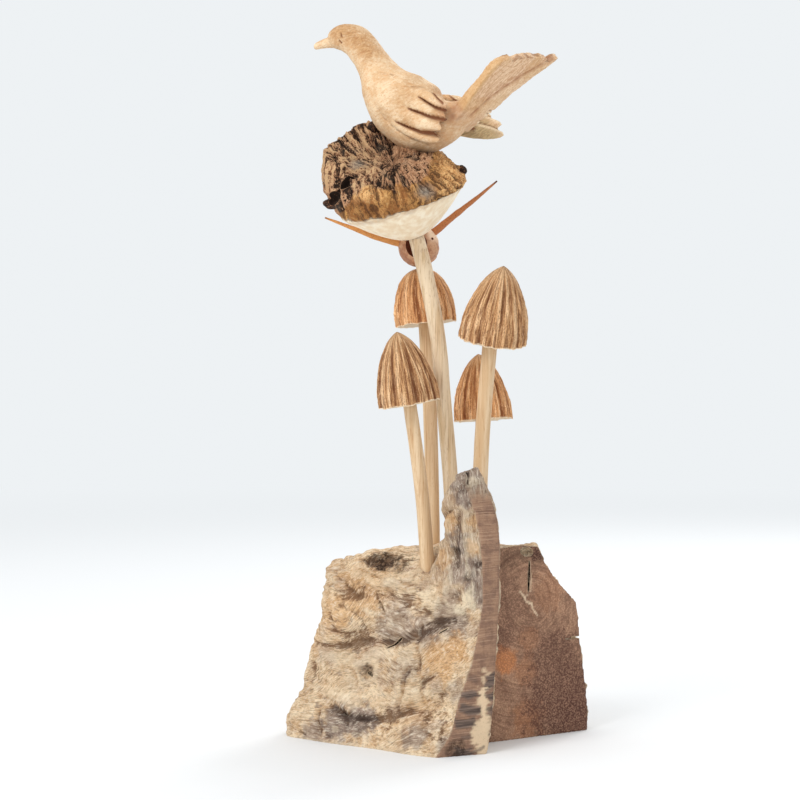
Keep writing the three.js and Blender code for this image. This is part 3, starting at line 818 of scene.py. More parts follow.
    def material(self) -> Finish:
        """The finish of the block, which reads the marks of RootBlock."""
        s = Shade("root_wood")
        speck = s.cloud(s.spread((0.8, 0.8, 0.6)), 3, 0.75)
        natural, fibre = self.natural(s)
        band, saw = self.band(s)
        colour = s.blend(s.mark("band"), natural, band)
        colour = s.coats(colour, (
            (s.mark("face"), self.face(s, speck)),
            (s.range(speck, 0.56, 0.72, 0, 0.35), tint(92, 66, 48)),
        ))
        # Painted shade in the pits, hollows and cracks.
        pitted = s.cloud(s.spread((1.6, 1.6, 1.6), (0, 0, 0), s.swirl(6, 2)), 3, 0.7)
        dark = s.sum("MULTIPLY", s.mark("dark"), s.range(pitted, 0.62, 0.42, 0.35, 1.25), clamp=True)
        colour = s.blend(dark, colour, tint(46, 32, 24))
        wild = s.range(s.sum("MAXIMUM", s.mark("band"), s.mark("face")), 0, 1, 1.0, 0.1)
        normal = s.relief(s.sum("MULTIPLY", fibre, wild), 1.3)
        normal = s.relief(s.sum("MULTIPLY", saw, s.mark("band")), 0.3, normal)
        normal = s.relief(speck, 0.28, normal)
        return s.close(colour, s.range(speck, 0.3, 0.7, 0.72, 0.92), normal, 0.2)


# Pieces


@dataclass(frozen=True)
class Stem:
    """Dowel stem on a gently bent line."""

    node: str
    path: tuple[Triple, ...]
    foot: float
    head: float
    finish: DowelWood
    sides: int = 40

    def shape(self, growth: float = 0.0, rows: int = 90) -> Mesh:
        """Mesh of the stem, or with a growth of the socket that it stands in.

        Args:
            growth: how much wider and longer it is made.
            rows: faces along it.

        Returns:
            The mesh.
        """
        points = [Vector((across, deep, height)) for height, across, deep in self.path]
        points[0].z -= growth
        points[-1].z += growth
        curve = Curve(tuple(points))

        def place(turn: float, way: float) -> Spot:
            """Place of a point of the stem.

            Args:
                turn: share of a turn.
                way: share of the way down.

            Returns:
                The place, with no marks.
            """
            share = hold((way * rows - 1) / (rows - 2))
            centre = curve.at(share)
            if way in (0, 1):
                return centre, ()
            angle = turn * 2 * math.pi
            out = Vector((math.cos(angle), math.sin(angle), 0))
            radius = mix(self.foot, self.head, share) + growth
            if not growth:
                radius += 0.07 * lumps(centre + 3 * out, 9, self.foot) - 0.04
            return centre + out * radius, ()

        return skin(self.sides, rows, place)

    def socket(self) -> Mesh:
        """Tool that cuts the socket of the stem, with room for the glue."""
        return self.shape(GLUE_GAP, 60)

    def build(self) -> Piece:
        """The finished stem."""
        stem = piece_of(self.node + "_wood", self.shape())
        dress(stem, [self.finish.material()], 35)
        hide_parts(self.node)
        return stem


def dress(piece: Piece, materials: Sequence[bpy.types.Material], crease: float = 60.0) -> None:
    """Gives a piece its finishes and smooth shading, and sets it on the carving.

    Args:
        piece: the piece.
        materials: its finish, or none where its faces have theirs already.
        crease: edges sharper than this many degrees stay crisp.
    """
    mesh = piece.data
    if materials:
        mesh.materials.clear()
    for material in materials:
        mesh.materials.append(material)
    mesh.shade_smooth()
    mesh.set_sharp_from_angle(angle=math.radians(crease))
    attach(piece, "root")


@dataclass(frozen=True)
class FlutedCap:
    """Bell-shaped cap of a small mushroom, cut with V-shaped flutes of uneven width."""

    node: str
    rim: Triple
    radius: float
    height: float
    lean: float
    back: float
    flutes: int
    stem: Stem
    finish: FlutedWood
    outline: Line = ((0, 0), (0.03, 0.12), (0.13, 0.37), (0.32, 0.65), (0.56, 0.86), (0.82, 0.98), (1, 1))
    scorch: float = 0.0
    scorch_at: float = 0.0
    flute_depth: float = 1.1
    skirt_rows: int = 58
    under_rows: int = 12

    def lines(self) -> list[Pair]:
        """Directions of the ridges and grooves in order, each with its depth."""
        count = 2 * self.flutes
        found = []
        for column in range(count):
            uneven = 0.32 * math.sin(column * 2.4 + self.flutes) + 0.22 * math.sin(column * 1.3)
            angle = (column + uneven * (1 if column % 2 else 0.3)) / count * 2 * math.pi
            depth = self.flute_depth * (0.75 + 0.35 * math.sin(column * 1.7)) if column % 2 else 0.0
            found.append((angle, depth))
        first = found[0]
        return found + [(first[0] + 2 * math.pi, first[1])]

    def build(self) -> Piece:
        """The finished cap."""
        lines = self.lines()
        profile = Curve(tuple(Vector((out, 0, down)) for down, out in self.outline))
        rows = self.skirt_rows + self.under_rows
        seed = self.flutes * 3.1

        def depth_at(angle: float) -> float:
            """Depth of the flutes in a direction."""
            angle = (angle - lines[0][0]) % (2 * math.pi) + lines[0][0]
            return along(lines, angle)

        def place(turn: float, way: float) -> Spot:
            """Place and marks of a point of the cap, from its tip to the middle of its underside.

            Args:
                turn: share of a turn.
                way: share of the way down.

            Returns:
                The place and the marks.
            """
            row = round(way * rows)
            angle = turn * 2 * math.pi
            unit = Vector((math.cos(angle), math.sin(angle), 0))
            if row > self.skirt_rows:
                share = (rows - row) / self.under_rows
                inner = 1 - ease(share, 0, 1)
                cut = 0.75 * depth_at(angle + 0.02 * math.sin(3 * angle))
                point = unit * ((self.radius - cut - 0.35) * share**0.9)
                point.z = 1.6 * inner + 0.1 * lumps(unit * 6 * share, 2, seed) - 0.1
                return point, (0.15, 1.0, point.x, point.y, 0.0, 0.0)
            spot = profile.at(row / self.skirt_rows)
            down, out = spot.z, max(0.0, spot.x)
            wander = 0.035 * lumps(Vector((2 * unit.x, 2 * unit.y, down * 4)), 1, seed)
            deep = depth_at(angle + wander) * ease(down, 0.02, 0.35)
            small = creases(Vector((unit.x * 13, unit.y * 13, down * 1.6)), 1, seed + 4) ** 1.5
            point = unit * (out * (self.radius - deep - 0.5 * (1 - small) * ease(down, 0.05, 0.3)))
            ragged = 0.75 * lumps(unit * 9, 2.4, seed) + 0.35 * lumps(unit * 9, 0.9, seed + 1)
            point.z = self.height * (1 - down) + ragged * ease(down, 0.93, 1.0)
            point += 0.2 * lumps(point, 1.8, seed) * unit * ease(down, 0.05, 0.2)
            groove = hold(0.8 * deep / self.flute_depth + 0.35 * (1 - small) - 0.05)
            edge = ease(down, 0.985, 1.0)
            scorch = 0.75 * ease(self.scorch - turn_between(angle, math.radians(self.scorch_at)), 0, 0.5)
            flow = (unit.x * self.radius, unit.y * self.radius, down * self.height)
            return point, (groove * (1 - edge), edge, *flow, hold(scorch * ease(groove, 0.2, 0.6)))

        marks = ("groove", "under", "fx", "fy", "fz", "scorch")
        cap = piece_of(self.node + "_wood", skin(12 * self.flutes, rows, place, marks))
        tilt = Euler((-math.radians(self.back), math.radians(self.lean), 0))
        cap.data.transform(Matrix.LocRotScale(Vector(self.rim) * MM, tilt, None))
        gather_flow(cap)
        join(cap, piece_of("socket", self.stem.socket()), Join.CUT)
        dress(cap, [self.finish.material()], 70)
        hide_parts(self.node)
        return cap


def gather_flow(piece: Piece) -> None:
    """Puts the marks fx, fy and fz, in millimetres, into one mark of three numbers called flow, in metres.

    Args:
        piece: piece that carries the three marks.
    """
    mesh = piece.data
    columns = [[0.0] * len(mesh.vertices) for _ in range(3)]
    for column, name in zip(columns, ("fx", "fy", "fz")):
        mesh.attributes[name].data.foreach_get("value", column)
        mesh.attributes.remove(mesh.attributes[name])
    flow = mesh.attributes.new("flow", "FLOAT_VECTOR", "POINT")
    flow.data.foreach_set("vector", [value * MM for spot in zip(*columns) for value in spot])


@dataclass(frozen=True)
class ThornGall:
    """Woody ball with a hollow in its front and two long thorns, grown as one."""

    middle: Triple = (-8.4, 18, 205.6)
    radius: float = 8.9
    mouth: Triple = (-9.2, 9.6, 205.6)
    mouth_halves: Triple = (4.6, 7.4, 5.4)
    thorns: tuple[tuple[Triple, ...], ...] = (
        ((-14.5, 16.8, 206.6), (-26, 16, 209.4), (-37, 15, 213.4), (-47.8, 14, 217.4)),
        ((-3.6, 18.4, 210), (6, 19.4, 218), (16, 20.8, 226), (25.3, 22, 233.8)),
    )
    thorn_radius: float = 1.75
    tip_radius: float = 0.35
    pinholes: tuple[Triple, ...] = ((-3.6, 11.2, 210.6), (-1.4, 12.8, 211.6), (-2.4, 12.6, 208.4))

    def ball(self) -> Mesh:
        """The woody ball."""
        middle = Vector(self.middle)

        def place(turn: float, way: float) -> Spot:
            """Place and marks of a point of the ball.

            Args:
                turn: share of a turn.
                way: share of the way down.

            Returns:
                The place and the marks.
            """
            angle = turn * 2 * math.pi
            out = math.sin(way * math.pi)
            unit = Vector((math.cos(angle) * out, math.sin(angle) * out, math.cos(way * math.pi)))
            radius = self.radius * (1 + 0.035 * math.sin(3 * angle + 1) * out)
            radius += 0.25 * lumps(unit * self.radius, 3, 2) + 0.12 * lumps(unit * self.radius, 1.2, 5) - 0.2
            point = middle + unit * radius
            pale = ease(point.x, -6, -3) * ease(point.z, 206, 210)
            return point, (0.0, 0.0, 0.0, pale, 0.0)

        return skin(112, 72, place, ("hollow", "thorn", "red", "pale", "tip"))

    def thorn(self, points: tuple[Triple, ...], red: float) -> Mesh:
        """One thorn, from inside the ball to its tip.

        Args:
            points: line of its middle.
            red: 1 where it is red-brown, 0 where it is orange.

        Returns:
            The mesh.
        """
        curve = Curve(tuple(Vector(p) for p in points))
        rows = 84

        def place(turn: float, way: float) -> Spot:
            """Place and marks of a point of the thorn.

            Args:
                turn: share of a turn.
                way: share of the way down.

            Returns:
                The place and the marks.
            """
            share = hold((way * rows - 1) / (rows - 2))
            centre = curve.at(share)
            marks = (0.0, 1.0, red, 0.0, ease(share, 0.9, 1.0) * (0.4 + 0.6 * red))
            if way in (0, 1):
                return centre, marks
            run = curve.run(share)
            side = Vector((0, 1, 0)).cross(run).normalized()
            angle = turn * 2 * math.pi
            out = side * math.cos(angle) + run.cross(side) * math.sin(angle)
            radius = mix(self.thorn_radius, self.tip_radius, share**1.15)
            radius *= 1 + 0.09 * lumps(centre + out * 1.5, 2.2, red) + 0.1 * hump(share - 0.42, 0.03)
            return centre + out * radius, marks

        return skin(20, rows, place, ("hollow", "thorn", "red", "pale", "tip"))

    def build(self) -> Piece:
        """The finished gall."""
        gall = piece_of("thorn_gall_wood", self.ball())
        mouth = ball_at(self.mouth, self.mouth_halves, mark=("hollow", 1.0), columns=48, rows=32)
        join(gall, piece_of("mouth", mouth), Join.CUT)
        for hole in self.pinholes:
            join(gall, piece_of("pinhole", ball_at(hole, (0.55, 1.6, 0.55), mark=("hollow", 1.0))), Join.CUT)
        for red, points in enumerate(self.thorns):
            join(gall, piece_of("thorn", self.thorn(points, float(red))), Join.ADD)
        dress(gall, [GallShell().material()], 50)
        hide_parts("thorn_gall")
        return gall


@dataclass(frozen=True)
class Feather:
    """Long pointed wing feather in the bird's own frame."""

    root: Triple
    tip: Triple
    half_width: float
    thickness: float = 1.7

    def shape(self) -> Mesh:
        """Mesh of the feather, thick along its middle."""
        start, end = Vector(self.root), Vector(self.tip)
        run = (end - start).normalized()
        side = Vector((0, math.copysign(1, self.root[1]), 0))
        side = (side - run * side.dot(run)).normalized()
        across = run.cross(side)

        def place(turn: float, way: float) -> Spot:
            """Place of a point of the feather.

            Args:
                turn: share of a turn.
                way: share of the way down.

            Returns:
                The place, with no marks.
            """
            angle = turn * 2 * math.pi
            swell = math.sin(math.pi * way**1.6) ** 0.5 if 0 < way < 1 else 0.0
            centre = start.lerp(end, way)
            centre += across * (math.cos(angle) * self.half_width * swell)
            return centre + side * (math.sin(angle) * self.thickness * swell), ()

        return skin(20, 36, place)


@dataclass(frozen=True)
class Cut:
    """Wedge-shaped groove under the lower edge of a feather, drawn on (x, height) in the bird's own frame."""

    line: Line
    depth: float
    widths: Pair

    def at(self, x: float, height: float) -> Pair:
        """Depth and painted shade of the groove at a place on the side of the bird.

        Args:
            x: place along the bird, in its own frame.
            height: height there.

        Returns:
            The depth in millimetres, and the strength of the brown painted shade from 0 to 1.
        """
        start, end = self.line[0][0], self.line[-1][0]
        if not start <= x <= end:
            return 0.0, 0.0
        share = (x - start) / (end - start)
        below = along(self.line, x) - height
        width = mix(self.widths[0], self.widths[1], share)
        if not -0.4 < below < width + 0.5:
            return 0.0, 0.0
        fade = ease(share, 0, 0.25)
        inside = ease(below, -0.35, 0.2) * (1 - ease(below, 0.45 * width, width + 0.4))
        # Brown painted shade, darkest right under the feather's edge and fading down the groove.
        groove_shade = ease(below, -0.3, 0.1) * (1 - 0.5 * ease(below, 0.6, 1.6))
        groove_shade *= 1 - ease(below, 0.6 * width, width + 0.3)
        return self.depth * fade * inside, groove_shade * ease(share, 0, 0.12)


@dataclass(frozen=True)
class Stroke:
    """Shallow engraved line on the side of the bird, drawn on (x, height) in its own frame."""

    line: Line
    depth: float
    width: float = 0.45

    def at(self, x: float, height: float) -> float:
        """How strong the line is there, from 0 to 1."""
        gap, _ = line_distance(x, height, self.line)
        return max(0.0, 1 - (gap / self.width) ** 2)


@dataclass(frozen=True)
class Bird:
    """The carved bird, in its own frame: x towards the tail, y to the far side, heights from the ground."""

    place: Pair = (-11.9, 0)
    turn: float = -28.0
    body: tuple[Four, ...] = (
        (-38, 292.6, 2, 2.2), (-36.8, 293, 3.9, 3.8), (-34.6, 293.4, 5, 4.7), (-30.6, 293.4, 5.9, 5.5),
        (-25.2, 291, 6.7, 5.9), (-19.8, 284.8, 7, 6.5), (-15.2, 277.6, 8.2, 8.1), (-11, 270.4, 11.2, 9.9),
        (-4.4, 263.4, 14.4, 11.4), (3.4, 257.8, 14.7, 11.6), (11, 254.8, 12.6, 10.2), (17.5, 255, 8.9, 8.2),
        (23.5, 257.3, 5.9, 6.6), (29, 260.6, 3.3, 6.2), (34.5, 264.2, 1.4, 5.4), (38, 266.6, 0.8, 3),
    )
    beak_base: Pair = (-34.5, 292.2)
    beak_tip: Pair = (-46.2, 290.9)
    beak_radius: Pair = (2.6, 2.9)
    tail_root: Pair = (25, 256)
    tail_rise: float = 37.5
    tail_roll: float = 5.0
    tail_outline: Line = (
        (-5, 8), (8, 11.4), (18, 13.2), (28, 15.4), (36.6, 18.2), (41.6, 18.8), (40.2, 16), (37.4, 14.6),
        (38.6, 13), (38.2, 9), (36.9, 6.5), (36.6, 3), (34.8, -1.6), (33.2, -4.4), (31.4, -5.6),
        (31.6, -8.4), (29.8, -10.8), (27.4, -12.4), (25, -12.9), (19, -11.4), (11, -9.8), (3, -7.4),
        (-5, -6),
    )
    tail_thickness: Pair = (5.4, 3.2)
    tail_step: Line = ((-6, -5), (3.6, -1.5), (12.7, 2.7), (24.3, 7.1), (35, 12.7), (42, 16.6))
    near_wing: tuple[Feather, ...] = (
        Feather((-3, -8.2, 269), (23.2, -12, 258.2), 3.5),
        Feather((-6, -9.4, 266), (22.9, -12.6, 253.6), 3.3),
        Feather((-9, -9.6, 262), (21, -12.2, 249.4), 3.3),
        Feather((-12, -8.6, 258.5), (19, -10.2, 245.3), 3.5),
    )
    far_wing: tuple[Feather, ...] = (
        Feather((-3, 8.2, 269), (25.5, 14.5, 260.6), 3.5), Feather((-5, 9.4, 266), (29, 18.4, 258.2), 3.3),
        Feather((-7, 9.6, 262), (32.6, 20.6, 255), 3.3), Feather((-9, 8.6, 258.5), (33.8, 20.8, 250.6), 3.6),
    )
    cuts: tuple[Cut, ...] = (
        Cut(((12, 268), (16.4, 264.9), (19.1, 262.2), (21.4, 260.4)), 0.9, (0.4, 1.3)),
        Cut(((8.6, 264.6), (13.5, 261.6), (17.6, 259.2), (22.8, 257.4)), 2.0, (0.5, 2.3)),
        Cut(((3.4, 260), (9.9, 257.7), (15.4, 255.6), (22.6, 253.8)), 2.1, (0.5, 2.7)),
        Cut(((-3, 255.4), (5, 252), (10.6, 249.9), (20, 248.6)), 2.3, (0.5, 3.0)),
    )
    strokes: tuple[Stroke, ...] = (
        Stroke(((-12.4, 274.6), (-10, 275.8), (-6.4, 275.4), (-4, 274.6)), 0.35, 0.5),
        Stroke(((-6.5, 266), (-3.6, 267.6), (0.6, 268.6), (5.6, 268.7), (10, 268.4)), 0.25, 0.4),
        Stroke(((-11.4, 268), (-12, 263), (-8, 257), (-2, 251.4), (4, 247.4), (11, 244.6)), 0.25, 0.5),
        Stroke(((11.6, 266), (14.4, 263.6), (17, 261.6)), 0.3, 0.3),
        Stroke(((13, 267.4), (16, 266.2), (18.6, 263.6)), 0.3, 0.3),
    )
    slits: tuple[Stroke, ...] = (
        Stroke(((-30.2, 294.2), (-29.6, 292.6)), 0.9, 0.42),
        Stroke(((-31.1, 291.5), (-30.2, 290.2)), 0.9, 0.4),
        Stroke(((-32.6, 292.8), (-32.5, 292.5)), 0.4, 0.25),
    )
    quad: float = 0.54
    tan_band: Line = ((-33, 296.6), (-27, 294.6), (-20.5, 290), (-16.4, 285))

    def frame(self) -> Matrix:
        """Place of the bird's own frame on the carving, in millimetres."""
        return Matrix.LocRotScale(Vector((*self.place, 0)), Euler((0, 0, math.radians(self.turn))), None)

    def tail_frame(self) -> Matrix:
        """Place of the tail plate in the bird's own frame, in millimetres."""
        rise = Matrix.Rotation(-math.radians(self.tail_rise), 4, "Y")
        roll = Matrix.Rotation(-math.radians(self.tail_roll), 4, "X")
        return Matrix.Translation((self.tail_root[0], 0, self.tail_root[1])) @ rise @ roll

    def body_shape(self) -> Mesh:
        """Head, neck and body as one smooth form."""
        spine = Curve(tuple(Vector((x, 0, height)) for x, height, _, _ in self.body))
        girth = Curve(tuple(Vector((depth, width, 0)) for _, _, depth, width in self.body))
        rows = 120

        def place(turn: float, way: float) -> Spot:
            """Place of a point of the body.

            Args:
                turn: share of a turn.
                way: share of the way down.

            Returns:
                The place, with no marks.
            """
            share = hold((way * rows - 1) / (rows - 2))
            centre = spine.at(share)
            if way in (0, 1):
                return centre, ()
            run = spine.run(share)
            upward = Vector((-run.z, 0, run.x))
            size = girth.at(share)
            angle = turn * 2 * math.pi
            return centre + upward * (size.x * math.cos(angle)) + Vector((0, size.y * math.sin(angle), 0)), ()

        return skin(72, rows, place)

    def beak_shape(self) -> Mesh:
        """The blunt beak."""
        rows = 26

        def place(turn: float, way: float) -> Spot:
            """Place of a point of the beak.

            Args:
                turn: share of a turn.
                way: share of the way down.

            Returns:
                The place, with no marks.
            """
            share = hold((way * rows - 1) / (rows - 2))
            x = mix(self.beak_base[0], self.beak_tip[0], share)
            height = mix(self.beak_base[1], self.beak_tip[1], share) + 0.5 * math.sin(share * math.pi)
            if way in (0, 1):
                return Vector((x, 0, height)), ()
            slim = (1 - 0.52 * share**1.3) * (1 - 0.35 * ease(share, 0.95, 1.0))
            angle = turn * 2 * math.pi
            across = math.cos(angle) * self.beak_radius[0] * slim
            return Vector((x, across, height + math.sin(angle) * self.beak_radius[1] * slim)), ()

        return skin(28, rows, place)

    def tail_shape(self) -> Mesh:
        """The tail plate with its ragged end, thick at the root and thin at the end."""
        plate = bmesh.new()
        outline = [plate.verts.new((x, y, 0)) for x, y in self.tail_outline]
        face = plate.faces.new(outline)
        raised = bmesh.ops.extrude_face_region(plate, geom=[face])["geom"]
        top = {item for item in raised if isinstance(item, bmesh.types.BMVert)}
        root, end = self.tail_thickness
        for vert in plate.verts:
            thickness = mix(root, end, ease(vert.co.x, -4, 22))
            vert.co.z = self.tail_thickness[1] if vert in top else self.tail_thickness[1] - thickness
        bmesh.ops.transform(plate, matrix=self.tail_frame(), verts=plate.verts)
        bmesh.ops.scale(plate, vec=(MM, MM, MM), verts=plate.verts)
        bmesh.ops.triangulate(plate, faces=plate.faces)
        bmesh.ops.recalc_face_normals(plate, faces=plate.faces)
        return plate

    def side_cut(self, point: Vector, out: Vector) -> Pair:
        """Depth and painted shade of the wing grooves at a point.

        Args:
            point: place in the bird's own frame, in millimetres.
            out: direction outwards.

        Returns:
            The depth in millimetres, and the strength of the brown painted shade from 0 to 1.
        """
        if abs(out.y) < 0.1 or abs(point.y) < 7.5:
            return 0.0, 0.0
        found = [cut.at(point.x, point.z) for cut in self.cuts]
        reach = ease(abs(out.y), 0.1, 0.35) * ease(abs(point.y), 7.5, 8.5)
        return reach * max(depth for depth, _ in found), reach * max(groove_shade for _, groove_shade in found)

    def drawn(self, point: Vector, lines: Sequence[Stroke]) -> Pair:
        """Depth and strength of the engraved lines at a point.

        Args:
            point: place in the bird's own frame, in millimetres.
            lines: the lines.

        Returns:
            The depth in millimetres, and the strength from 0 to 1.
        """
        if abs(point.y) < 2:
            return 0.0, 0.0
        found = [(line.at(point.x, point.z), line.depth) for line in lines]
        strength, depth = max(found)
        return strength * depth, strength

    def far_edge(self, point: Vector) -> Pair:
        """Painted highlight rim and painted shadow line along the edges of the far wing's feathers.

        Args:
            point: place in the bird's own frame, in millimetres.

        Returns:
            The strength of the painted highlight and of the painted shadow, each from 0 to 1.
        """
        if point.x < 6 or point.y < 7:
            return 0.0, 0.0
        rim, line = 0.0, 0.0
        for feather in self.far_wing[1:]:
            start, end = Vector(feather.root), Vector(feather.tip)
            run = (end - start).normalized()
            share = hold((point - start).dot(run) / (end - start).length, 0.01, 0.99)
            gap = point.z - start.lerp(end, share).z
            edge = feather.half_width * math.sin(math.pi * share**1.6) ** 0.5 * 0.8
            rim = max(rim, hump(gap - edge + 0.45, 0.45))
            line = max(line, hump(gap - edge - 0.35, 0.32))
        return rim, line

    def tail_cut(self, point: Vector) -> Pair:
        """Step along the tail's underside, with the rounded band beside it.

        Args:
            point: place in the bird's own frame, in millimetres.

        Returns:
            The depth in millimetres, and how far the point is past the step, from 0 to 1.
        """
        local = self.tail_frame().inverted() @ point
        if local.x < -4 or local.z > 0.6:
            return 0.0, 0.0
        edge = along(self.tail_step, local.x)
        past = ease(local.y - edge, -0.5, 0.6)
        fade = ease(local.x, -4, 6)
        quill = math.sin(math.pi * hold((local.y - edge) / (along(((-6, 9), (42, 18.6)), local.x) - edge)))
        return (0.9 * hump(local.y - edge, 0.7) - 0.7 * quill) * fade, past * fade

    def tail_edges(self, point: Vector) -> Pair:
        """Ragged end and near edge of the tail.

        Args:
            point: place in the bird's own frame, in millimetres.

        Returns:
            How far the point is on the end and on the near edge, each from 0 to 1.
        """
        local = self.tail_frame().inverted() @ point
        if local.x < 2:
            return 0.0, 0.0
        end, _ = line_distance(local.x, local.y, self.tail_outline[5:18])
        near = along(((3, -7.4), (11, -9.8), (19, -11.4), (27, -12.6)), local.x) + 1.8
        return hump(end, 1.3), ease(near - local.y, -0.6, 0.8)

    def move_at(self, point: Vector, out: Vector) -> Vector:
        """Move of a point into its grooves and lines, with soft waves.

        Args:
            point: place in the bird's own frame, in millimetres.
            out: direction outwards.

        Returns:
            The move in millimetres.
        """
        cut, _ = self.side_cut(point, out)
        move = Vector((0, -math.copysign(1, point.y), 0)) * cut
        fine = self.drawn(point, self.strokes)[0] + self.drawn(point, self.slits)[0]
        step, _ = self.tail_cut(point)
        wave = 0.3 * lumps(point, 9, 3) + 0.16 * lumps(point, 3.6, 5) + 0.07 * lumps(point, 1.4, 8)
        return move + out * (wave - fine - step - 0.5 * self.far_edge(point)[1] - 0.05)

    def marks_at(self, point: Vector, out: Vector) -> Values:
        """Strength of the marks at a point.

        Args:
            point: place in the bird's own frame, in millimetres.
            out: direction outwards.

        Returns:
            The marks groove, tan, tail, rust, cream and grey.
        """
        local = self.tail_frame().inverted() @ point
        in_tail = ease(local.x, -1, 5) * ease(-local.z, -3.5, -2.0)
        past = self.tail_cut(point)[1]
        end, near = self.tail_edges(point)
        rim, line = self.far_edge(point)

        gap, _ = line_distance(point.x, point.z, self.tan_band)
        head = hump(gap + 0.8 * lumps(point, 2, 3), 5) * ease(-out.y, -0.2, 0.5)
        chest = 0.45 * ease(lumps(point, 9, 6), 0.05, 0.4) * ease(point.z, 248, 256)
        wing = 0.6 * hump(math.hypot(point.x - 3, point.z - 263), 6)
        belly = 0.2 * ease(250 - point.z, 0, 6)
        tan = hold(max(head, chest, belly, wing, 0.75 * near * in_tail))

        # Groove: brown painted shade in the wing cuts and under the far-wing feather edges; it also darkens
        # the engraved lines, the eye slits and the ragged tail end.
        lines = 0.55 * self.drawn(point, self.strokes)[1] * ease(lumps(point, 2.2, 4), -0.3, 0.3)
        end_dark = 0.55 * end * ease(lumps(point, 2.6, 9), -0.35, 0.25)
        cuts = max(self.side_cut(point, out)[1], self.drawn(point, self.slits)[1])
        groove = hold(max(cuts, lines, end_dark, 0.7 * line))

        step = local.y - along(self.tail_step, local.x)
        glow = 0.42 * hump(step + 2.4, 2.8) * ease(lumps(local, 3, 2), -0.5, 0.3)
        ridge = max(1.1 * hump(step + 0.2, 0.9), glow) * ease(local.x, -4, 2)
        ridge *= (1 - 0.4 * ease(local.x, 28, 38)) * in_tail
        root = 0.9 * hump(math.hypot(point.x - 23.5, (point.z - 256.5) * 0.8), 4.6)
        under = 0.25 * hump(math.hypot(point.x - 19, point.z - 246), 6)
        front = 1 - ease(point.y, 6, 10) * ease(8 - local.x, 0, 4)
        rust = hold(max(root, under, ridge) * (0.75 + 0.5 * lumps(point, 2.4, 6)) * front)

        # Cream: painted highlight along the far-wing feather edges, and a faint light tone on the tail band
        # past the step.
        cream = hold(max(0.12 * past * ease(local.x, 2, 8), 0.9 * rim))
        # Grey: the far wing's feathers greyed as painted shade.
        grey = 0.85 * ease(point.y, 8, 12) * ease(point.x, 8, 18) * ease(266 - point.z, 0, 3) * (1 - in_tail)
        return groove, tan, in_tail * (1 - 0.25 * past), rust, cream, grey

    def build(self) -> Piece:
        """The carved bird before it is joined to the burl, with its marks."""
        bird = piece_of("bird", self.body_shape())
        join(bird, piece_of("beak", self.beak_shape()), Join.ADD)
        join(bird, piece_of("tail", self.tail_shape()), Join.ADD)
        for feather in (*self.near_wing, *self.far_wing):
            join(bird, piece_of("feather", feather.shape()), Join.ADD)
        even_out(bird, self.quad, 3)
        carve(bird, self.move_at, ("groove", "tan", "tail", "rust", "cream", "grey"), self.marks_at)
        set_down(bird, self.frame())
        return bird


